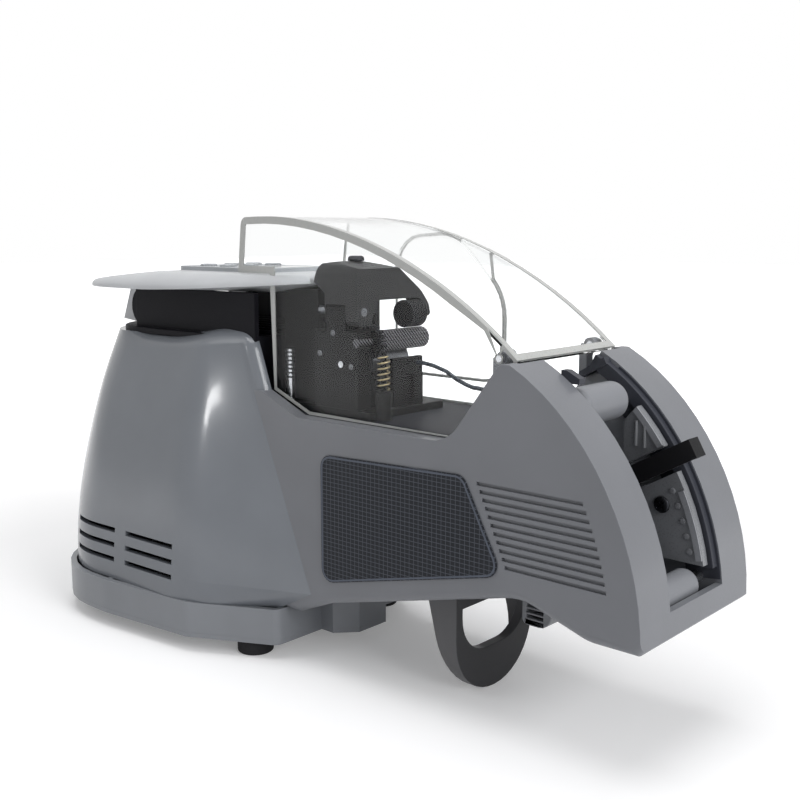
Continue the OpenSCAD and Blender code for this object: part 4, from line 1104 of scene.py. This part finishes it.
@dataclass
class RollBay:
    """The roll bay in the nose with its rollers, guide plates and lever."""

    arch: Outline = ((183.0, 54.5), (183.0, 94.5), (160.0, 136.5), (123.0, 155.5))
    arch_steps: int = 90
    plate_y: float = 13.0
    upper_z: Pair = (119.5, 135.5)
    lower_z: Pair = (74.5, 104.0)
    rail_w: float = 2.6
    rail_gap: float = 3.2
    rail_y: Pair = (12.3, 13.3)
    ribs: tuple[Triple, ...] = ((146.0, 118.5, 129.0), (150.0, 118.0, 127.0))
    rib_r: float = 0.9
    boss: Outline = ((1.3, -0.3), (1.3, 0.3), (0.9, 0.6))
    boss_z: Pair = (77.5, 102.0)
    boss_gap: float = 8.2
    boss_every: int = 5
    lining_w: float = 15.0
    lining_z: Pair = (66.0, 150.0)
    lining_gap: float = 0.5
    lining_y: Pair = (21.5, 22.1)
    far_bracket: Outline = ((126.8, 153.4), (114.5, 146.0), (116.0, 143.6), (128.2, 150.6))
    far_y: Pair = (17.5, 22.1)
    near_bracket: Outline = ((131.5, 147.0), (140.0, 147.0), (140.0, 149.2), (134.0, 152.2),
                             (131.5, 152.2))
    near_y: Pair = (-22.1, -18.2)
    screw: Screw = Screw(3.5, 1.6, 9.0)
    screw_at: Pair = (159.0, 95.5)

    def part(self, ends: Pair, gap: float) -> np.ndarray:
        """A line along the arch between two heights, inside it by a gap."""
        line = beside(bezier(self.arch, self.arch_steps), gap)
        return line[(line[:, 1] >= ends[0]) & (line[:, 1] <= ends[1])]

    def build(self) -> None:
        """Make the pieces of the bay."""
        mould("bay_liner", BLACK, width=0.3)
        mould("bay_trim", TRIM, width=0.5)
        mould("upper_guide_plate", PLATE, width=0.5)
        mould("lower_guide_plate", PLATE, width=0.5)
        dress("lever_pin", STEEL)
        mould("bay_lever", BLACK, width=0.6, segments=3)
        mould("roller_shafts", STEEL, width=0.4)
        for node in ("top_guide_roller", "bottom_guide_roller", "rear_bay_roller"):
            mould(node, ROLLER, width=0.2, angle=40.0, crease=50.0)
        x, z = self.screw_at
        place = (x, self.plate_y, z)
        self.screw.build("plate_screw.moulded", place, (0, -1, 0), DARK_STEEL, ["plate_screw"])
        self.fittings()

    def fittings(self) -> None:
        """Add rails and ribs to the guide plates, the lining of the far cheek and the roller's brackets."""
        rails = Form()
        for ends in (self.upper_z, self.lower_z):
            rails.ribbon(self.part(ends, self.rail_gap), self.rail_w, self.rail_y)
        rails.soften(width=0.3).piece("guide_rails", RAIL, "frame")
        ribs = Form()
        for x, low, high in self.ribs:
            ribs.tube([(x, self.plate_y, low), (x, self.plate_y, high)], self.rib_r)
        for x, z in self.part(self.boss_z, self.boss_gap)[::self.boss_every]:
            ribs.turned(self.boss, (x, self.plate_y, z), (0, -1, 0), sides=20)
        ribs.piece("guide_ribs", PLATE, "frame", crease=40.0)
        lining = Form().ribbon(self.part(self.lining_z, self.lining_gap), self.lining_w, self.lining_y)
        lining.piece("cheek_lining", TRIM, "frame")
        brackets = Form().slab(self.far_bracket, self.far_y).slab(self.near_bracket, self.near_y)
        brackets.soften(width=0.5).piece("roller_brackets", TRIM, "frame")


@dataclass
class Cover:
    """The clear hinged cover."""

    curve: Outline = ((120.8, 156.3), (83.8, 189.3), (23.4, 216.0), (-38.6, 213.0))
    curve_steps: int = 60
    half_w: float = 37.0
    edge_w: float = 3.4
    low_edge_w: float = 1.4
    low_edge_z: float = 141.0
    hinge_from: float = 80.0
    hinge_w: float = 0.5
    hinge: Pair = (111.7, 156.3)
    hole_r: float = 2.0
    pin_gap: float = 0.12
    taper_x: Pair = (92.0, 110.0)
    under_by: float = 1.0
    skin: float = -0.05
    frame_t: float = 0.7
    front_t: float = 1.2
    front_steps: int = 90
    front_points: int = 3

    def build(self) -> None:
        """Make the cover, its thick edges with their painted sheen, and its pins."""
        sheet = Form.of_node("clear_cover").soften(width=0.2, segments=1, angle=50.0)
        sheet.piece("clear_cover.moulded", CLEAR, "cover", ["clear_cover"], crease=30.0)
        mould("cover_hinge_pins", STEEL, width=0.3)
        # The thick edges are opaque bands whose pale tone is painted sheen of the clear sheet.
        edges = Form()
        out_y, from_y = self.half_w - self.skin, self.half_w - self.skin - self.frame_t
        for side, wide in zip(SIDES, (self.edge_w, self.low_edge_w)):
            loop = outline_of("clear_cover", side)
            hole = np.linalg.norm(loop - np.array(self.hinge), axis=1) < self.hole_r
            outer = inside(loop, np.where(hole, self.pin_gap, self.skin))
            edges.hoop(outer, inside(loop, self.widths(loop, wide)), (side * out_y, side * from_y))
        arch = beside(bezier(self.curve, self.curve_steps), self.skin)
        to_y = self.half_w - self.edge_w
        edges.ribbon(arch, self.frame_t, (-from_y, -to_y))
        edges.ribbon(arch, self.frame_t, (to_y, from_y))
        front = beside(bezier(self.curve, self.front_steps)[:self.front_points], self.skin)
        edges.ribbon(front, self.front_t, (-to_y, to_y))
        for v in edges.bm.verts:
            v.co.z = min(v.co.z, CAD_BOX[1][2])
        edges.piece("cover_edges", CLEAR_EDGE_SHEEN, "cover", crease=40.0)

    def widths(self, loop: np.ndarray, wide: float) -> np.ndarray:
        """Width of a side's frame at each point of its outline.

        Args:
            loop: Outline of the side in X and Z.
            wide: Width along the arch and the rear edge.

        Returns:
            A width for each point.
        """
        x, z = loop.T
        arch = bezier(self.curve, self.curve_steps)[::-1]
        under_arch = z < np.interp(x, arch[:, 0], arch[:, 1]) - self.under_by
        tapered = np.interp(x, self.taper_x, (wide, self.low_edge_w))
        edge = np.where(z < self.low_edge_z, self.low_edge_w, tapered)
        return np.where(under_arch & (x > self.hinge_from), self.hinge_w, edge)


@dataclass
class Console:
    """The neck with the tape mouth and the console over it."""

    keys: int = 6
    low_z: float = 177.0
    top_z: float = 186.0
    rear_x: float = -180.1
    middle_x: float = -85.0
    lip: float = 0.9
    leaf_x: float = -100.0
    leaf: Outline = ((-80.0, -56.0), (-60.0, -52.0), (-45.0, -47.0), (-30.0, -42.0), (-15.0, -37.0),
                     (-0.4, -32.0))
    rise: float = 5.3
    rise_bend: float = 1.3
    side_depth: float = 0.3
    front_depth: float = 0.07
    rear_depth: float = 0.2
    toward: Pair = (0.2, 0.9)
    wedge_h: float = 8.0
    wedge_l: float = 75.0
    under_x: float = -32.0
    under_share: Pair = (0.8, 0.75)
    well: Triple = (-77.7, 36.4, 26.4)
    well_h: float = 4.0
    well_wide: float = 1.4
    well_square: float = 0.35
    steps: int = 180
    rings: int = 16
    neck_z: Pair = (156.2, 176.8)
    end_x: float = -122.0
    end_l: float = 10.0
    end_steps: int = 16
    end_y: Pair = (36.0, 40.7)
    guard: Outline = ((-126.0, 156.8), (-126.0, 176.8), (-139.0, 176.8), (-147.0, 158.7))
    guard_y: Pair = (34.0, 36.0)

    def build(self) -> None:
        """Make the console's pieces."""
        self.neck()
        self.housing()
        mould("console_panel", PANEL, width=0.5)
        mould("display_lens", LENS, width=0.2)
        dress("display_module", BOARD)
        dress("keypad_board", BOARD)
        for i in range(1, self.keys + 1):
            mould(f"button_{i}", KEYS, width=0.3)

    def neck(self) -> None:
        """Make the neck with its rounded ends and the guards behind them."""
        mould("neck_tray", DRUM, width=0.6)
        low, high = self.neck_z
        bow = [(self.end_x - self.end_l * math.cos(a), (low + high) / 2 + (high - low) / 2 * math.sin(a))
               for a in np.linspace(-QUARTER, QUARTER, self.end_steps + 1)]
        ends, guards = Form(), Form()
        for side in SIDES:
            ends.slab(bow, (side * self.end_y[0], side * self.end_y[1]))
            guards.slab(self.guard, (side * self.guard_y[0], side * self.guard_y[1]))
        ends.soften(width=1.0, segments=3).piece("neck_ends", DRUM, "frame", crease=45.0)
        guards.soften(width=0.4).piece("neck_guards", CONSOLE, "frame")

    def loop(self) -> np.ndarray:
        """Outline of the console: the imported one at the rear, a leaf at the front.

        Returns:
            Points in X and Y, counter-clockwise from the rear tip.
        """
        rim = set()
        for v in frame["nodes"]["console_housing"].data.vertices:
            x, y, z = (c / MM for c in v.co)
            if abs(z - self.low_z) < TOUCH and x < self.leaf_x:
                rim.add((round(x, 2), round(-abs(y), 2)))
        rear = sorted(rim, key=lambda p: math.atan2(p[1], p[0] - self.leaf_x) % math.tau)
        half = np.array(rear + list(self.leaf))
        return spread(np.vstack([half, (half * (1, -1))[::-1], half[:1]]), self.steps + 1)[:-1]

    def foot(self, x: float) -> float:
        """Height of the console's lower edge, which rises to the front."""
        return self.low_z + self.rise * (max(0.0, x - self.leaf_x) / -self.leaf_x) ** self.rise_bend

    def ring(self, loop: np.ndarray, t: float) -> list[Triple]:
        """Points of the rise from the edge to the flat top.

        Args:
            loop: Outline of the console.
            t: Share of the way, 0 at the edge and 1 at the flat.

        Returns:
            The points.
        """
        row = []
        for x, y in loop:
            ahead = (x - self.middle_x) / np.linalg.norm((x - self.middle_x, y))
            depth = mix(self.side_depth, self.front_depth, ease(*self.toward, ahead))
            depth += self.rear_depth * ease(*self.toward, -ahead)
            keep = 1 - depth * (1 - math.cos(t * QUARTER))
            px, py = self.middle_x + (x - self.middle_x) * keep, y * keep
            foot = self.foot(x) + self.lip
            wedge = self.low_z + self.lip + self.wedge_h * min(1.0, (px - self.rear_x) / self.wedge_l)
            row.append((px, py, max(foot, min(wedge, mix(foot, self.top_z, math.sin(t * QUARTER))))))
        return row

    def housing(self) -> None:
        """Make the console's shell: a thin edge that rises to a flat top with a well under the panel."""
        loop = self.loop()
        along, across = self.under_share
        rows = [[(min(self.under_x, mix(self.middle_x, x, along)), y * across, self.low_z) for x, y in loop]]
        rows += [[(x, y, self.foot(x) + lip) for x, y in loop] for lip in (0.0, self.lip)]
        rows += [self.ring(loop, i / self.rings) for i in range(1, self.rings + 1)]
        mid, long, wide = self.well
        well = []
        for x, y in loop:
            a = math.atan2(y * self.well_wide, x - mid)
            c, d = (math.copysign(abs(s) ** self.well_square, s) for s in (math.cos(a), math.sin(a)))
            well.append((mid + long * c, wide * d))
        rows += [[(x, y, z) for x, y in well] for z in (self.top_z, self.top_z - self.well_h)]
        form = Form()
        verts = form.grid(rows, closed=True)
        form.bm.faces.new(list(reversed(verts[0])))
        form.piece("console_housing.moulded", CONSOLE, "frame", ["console_housing"], crease=30.0)


@dataclass
class Head:
    """The feeding and cutting head under the cover."""

    spring_at: Pair = (37.97, -23.5)
    spring_z: Pair = (135.45, 150.55)
    spring_r: float = 2.6
    wire_r: float = 0.45
    turns: int = 6
    turn_steps: int = 28
    tray_x: Pair = (-19.0, 95.0)
    tray_y: float = 36.6
    tray_z: Pair = (120.7, 121.4)
    face_y: float = -29.9
    screw: Screw = Screw(1.4, 0.8)
    screws: Outline = ((12.3, 159.9), (23.8, 145.0), (3.5, 149.9))

    def build(self) -> None:
        """Make the head's pieces."""
        for node, width in (("head_base", 0.5), ("head_column", 0.6), ("motor_mount", 0.5),
                            ("head_front_cover", 0.6), ("cutter_housing", 0.8)):
            mould(node, HEAD, width)
        mould("press_arm", PRESS, width=0.8)
        mould("pressure_roller", RUBBER, width=0.4)
        dress("feed_roller", KNURL)
        for node in ("motor_pinion", "cutter_motor", "cutter_blade", "threaded_stud"):
            dress(node, STEEL)
        for node in ("press_arm_pin", "feed_motor"):
            dress(node, DULL_STEEL)
        dress("feed_gear", DARK_STEEL)
        mould("press_arm_screw", DARK_STEEL, width=0.2)
        dress("head_cable", CABLE)
        self.spring()
        (x0, x1), (z0, z1) = self.tray_x, self.tray_z
        tray = Form().block((x0, -self.tray_y, z0), (x1, self.tray_y, z1)).soften(width=0.3)
        tray.piece("deck_tray", TRAY, "frame")
        for i, (x, z) in enumerate(self.screws, 1):
            self.screw.build(f"head_screw_{i}", (x, self.face_y, z), (0, -1, 0), DULL_STEEL)

    def spring(self) -> None:
        """Wind the coil spring with a round wire."""
        x, y = self.spring_at
        steps = self.turn_steps * self.turns
        path = []
        for i in range(steps + 1):
            a = math.tau * self.turns * i / steps
            height = mix(*self.spring_z, i / steps)
            path.append((x + self.spring_r * math.cos(a), y + self.spring_r * math.sin(a), height))
        wire = Form().tube(path, self.wire_r)
        wire.piece("head_spring.wound", BRASS, "frame", ["head_spring"], crease=50.0)


def aim(obj: bpy.types.Object, place: Point, direction: Point) -> None:
    """Put a lamp or camera in its place.

    Args:
        obj: The lamp or camera.
        place: Its place in metres.
        direction: Where it looks.
    """
    obj.location = place
    obj.rotation_mode = "QUATERNION"
    obj.rotation_quaternion = Vector(direction).to_track_quat("-Z", "Y")


@dataclass(frozen=True)
class Lamp:
    """An area lamp in metres and watts: a disk, or a rectangle where it has two sizes."""

    name: str
    place: Triple
    size: tuple[float, ...]
    power: float
    target: Triple = (0.0, 0.0, 0.09)
    mirrored_only: bool = False

    def build(self) -> None:
        """Hang the lamp."""
        data = bpy.data.lights.new(self.name, "AREA")
        data.shape = "RECTANGLE" if len(self.size) > 1 else "DISK"
        data.size, data.size_y = self.size[0], self.size[-1]
        data.energy = self.power
        lamp = add_object(self.name, data)
        aim(lamp, self.place, Vector(self.target) - Vector(self.place))
        if self.mirrored_only:
            lamp.visible_diffuse = False
            lamp.visible_transmission = False


@dataclass
class Studio:
    """Floor, light and camera, in metres."""

    eye: Triple = (0.3627, -0.3769, 0.2064)
    look: Triple = (-0.6576, 0.7370, -0.1563)
    lens: float = 48.07
    sensor: float = 36.0
    clip: Pair = (0.01, 50.0)
    sky_light: float = 0.3
    floor_half: float = 6.0
    floor_t: float = 0.02
    floor_tone: Triple = (0.86, 0.86, 0.87)
    glow: Pair = (0.2, 1.0)
    glow_at: Pair = (0.3, 0.9)
    lamps: tuple[Lamp, ...] = (
        Lamp("key", (-0.55, -0.95, 1.05), (0.7,), 2.0),
        Lamp("top", (0.05, -0.1, 1.35), (1.0,), 9.0),
        Lamp("right", (1.35, -0.2, 0.7), (0.8,), 12.0),
        Lamp("card", (-0.25, -1.1, 0.42), (0.07, 0.18), 1.5, (-0.05, 0.0, 0.42), mirrored_only=True),
    )

    def build(self) -> None:
        """Make the stage."""
        scene = bpy.context.scene
        scene.view_settings.view_transform = "Standard"
        self.floor()
        self.sky(scene)
        for lamp in self.lamps:
            lamp.build()
        data = bpy.data.cameras.new("camera")
        data.lens, data.sensor_width = self.lens, self.sensor
        data.clip_start, data.clip_end = self.clip
        scene.camera = add_object("camera", data)
        aim(scene.camera, self.eye, self.look)

    @staticmethod
    def seen(tree: Tree) -> Socket:
        """Tell what is seen, straight or through the object, from what only lights.

        Args:
            tree: Tree that gets the nodes.

        Returns:
            A value of 1 for camera, glossy and transmission rays and 0 for others.
        """
        rays = new_node(tree, "LightPath").outputs
        total = rays["Is Camera Ray"]
        for key in ("Is Glossy Ray", "Is Transmission Ray"):
            total = combine(tree, "MAXIMUM", total, rays[key])
        return total

    def floor(self) -> None:
        """Lay a wide pale floor that keeps the object's shadow and turns white further out."""
        half, deep = self.floor_half / MM, self.floor_t / MM
        mesh = Form().block((-half, -half, -deep), (half, half, 0.0)).mesh("floor")
        floor = add_object("floor", mesh)
        graph = Graph("pale_floor")
        away = graph.add("VectorMath", {0: graph.coords}, operation="LENGTH").outputs["Value"]
        glow = remap(graph.tree, away, self.glow_at, self.glow)
        graph.set(Base_Color=(*self.floor_tone, 1.0), Roughness=0.7, Specular_IOR_Level=0.2,
                  Emission_Color=(1.0, 1.0, 1.0, 1.0),
                  Emission_Strength=combine(graph.tree, "MULTIPLY", self.seen(graph.tree), glow))
        mesh.materials.append(graph.material)

    def sky(self, scene: bpy.types.Scene) -> None:
        """Set a white surround that lights softly.

        Args:
            scene: The scene.
        """
        world = bpy.data.worlds.new("surround")
        world.use_nodes = True
        tree = world.node_tree
        strength = remap(tree, self.seen(tree), (0.0, 1.0), (self.sky_light, 1.0))
        fill(tree.nodes["Background"], {"Color": (1.0, 1.0, 1.0, 1.0), "Strength": strength})
        scene.world = world


def main() -> None:
    """Build the stage and the sub-assemblies in order."""
    logging.basicConfig(level=logging.INFO, format="%(name)s %(message)s")
    for part in (Studio(), Base(), Pedestal(), Arm(), RollBay(), Cover(), Console(), Head()):
        log.info("building %s", type(part).__name__)
        part.build()


if __name__ == "__main__":
    main()
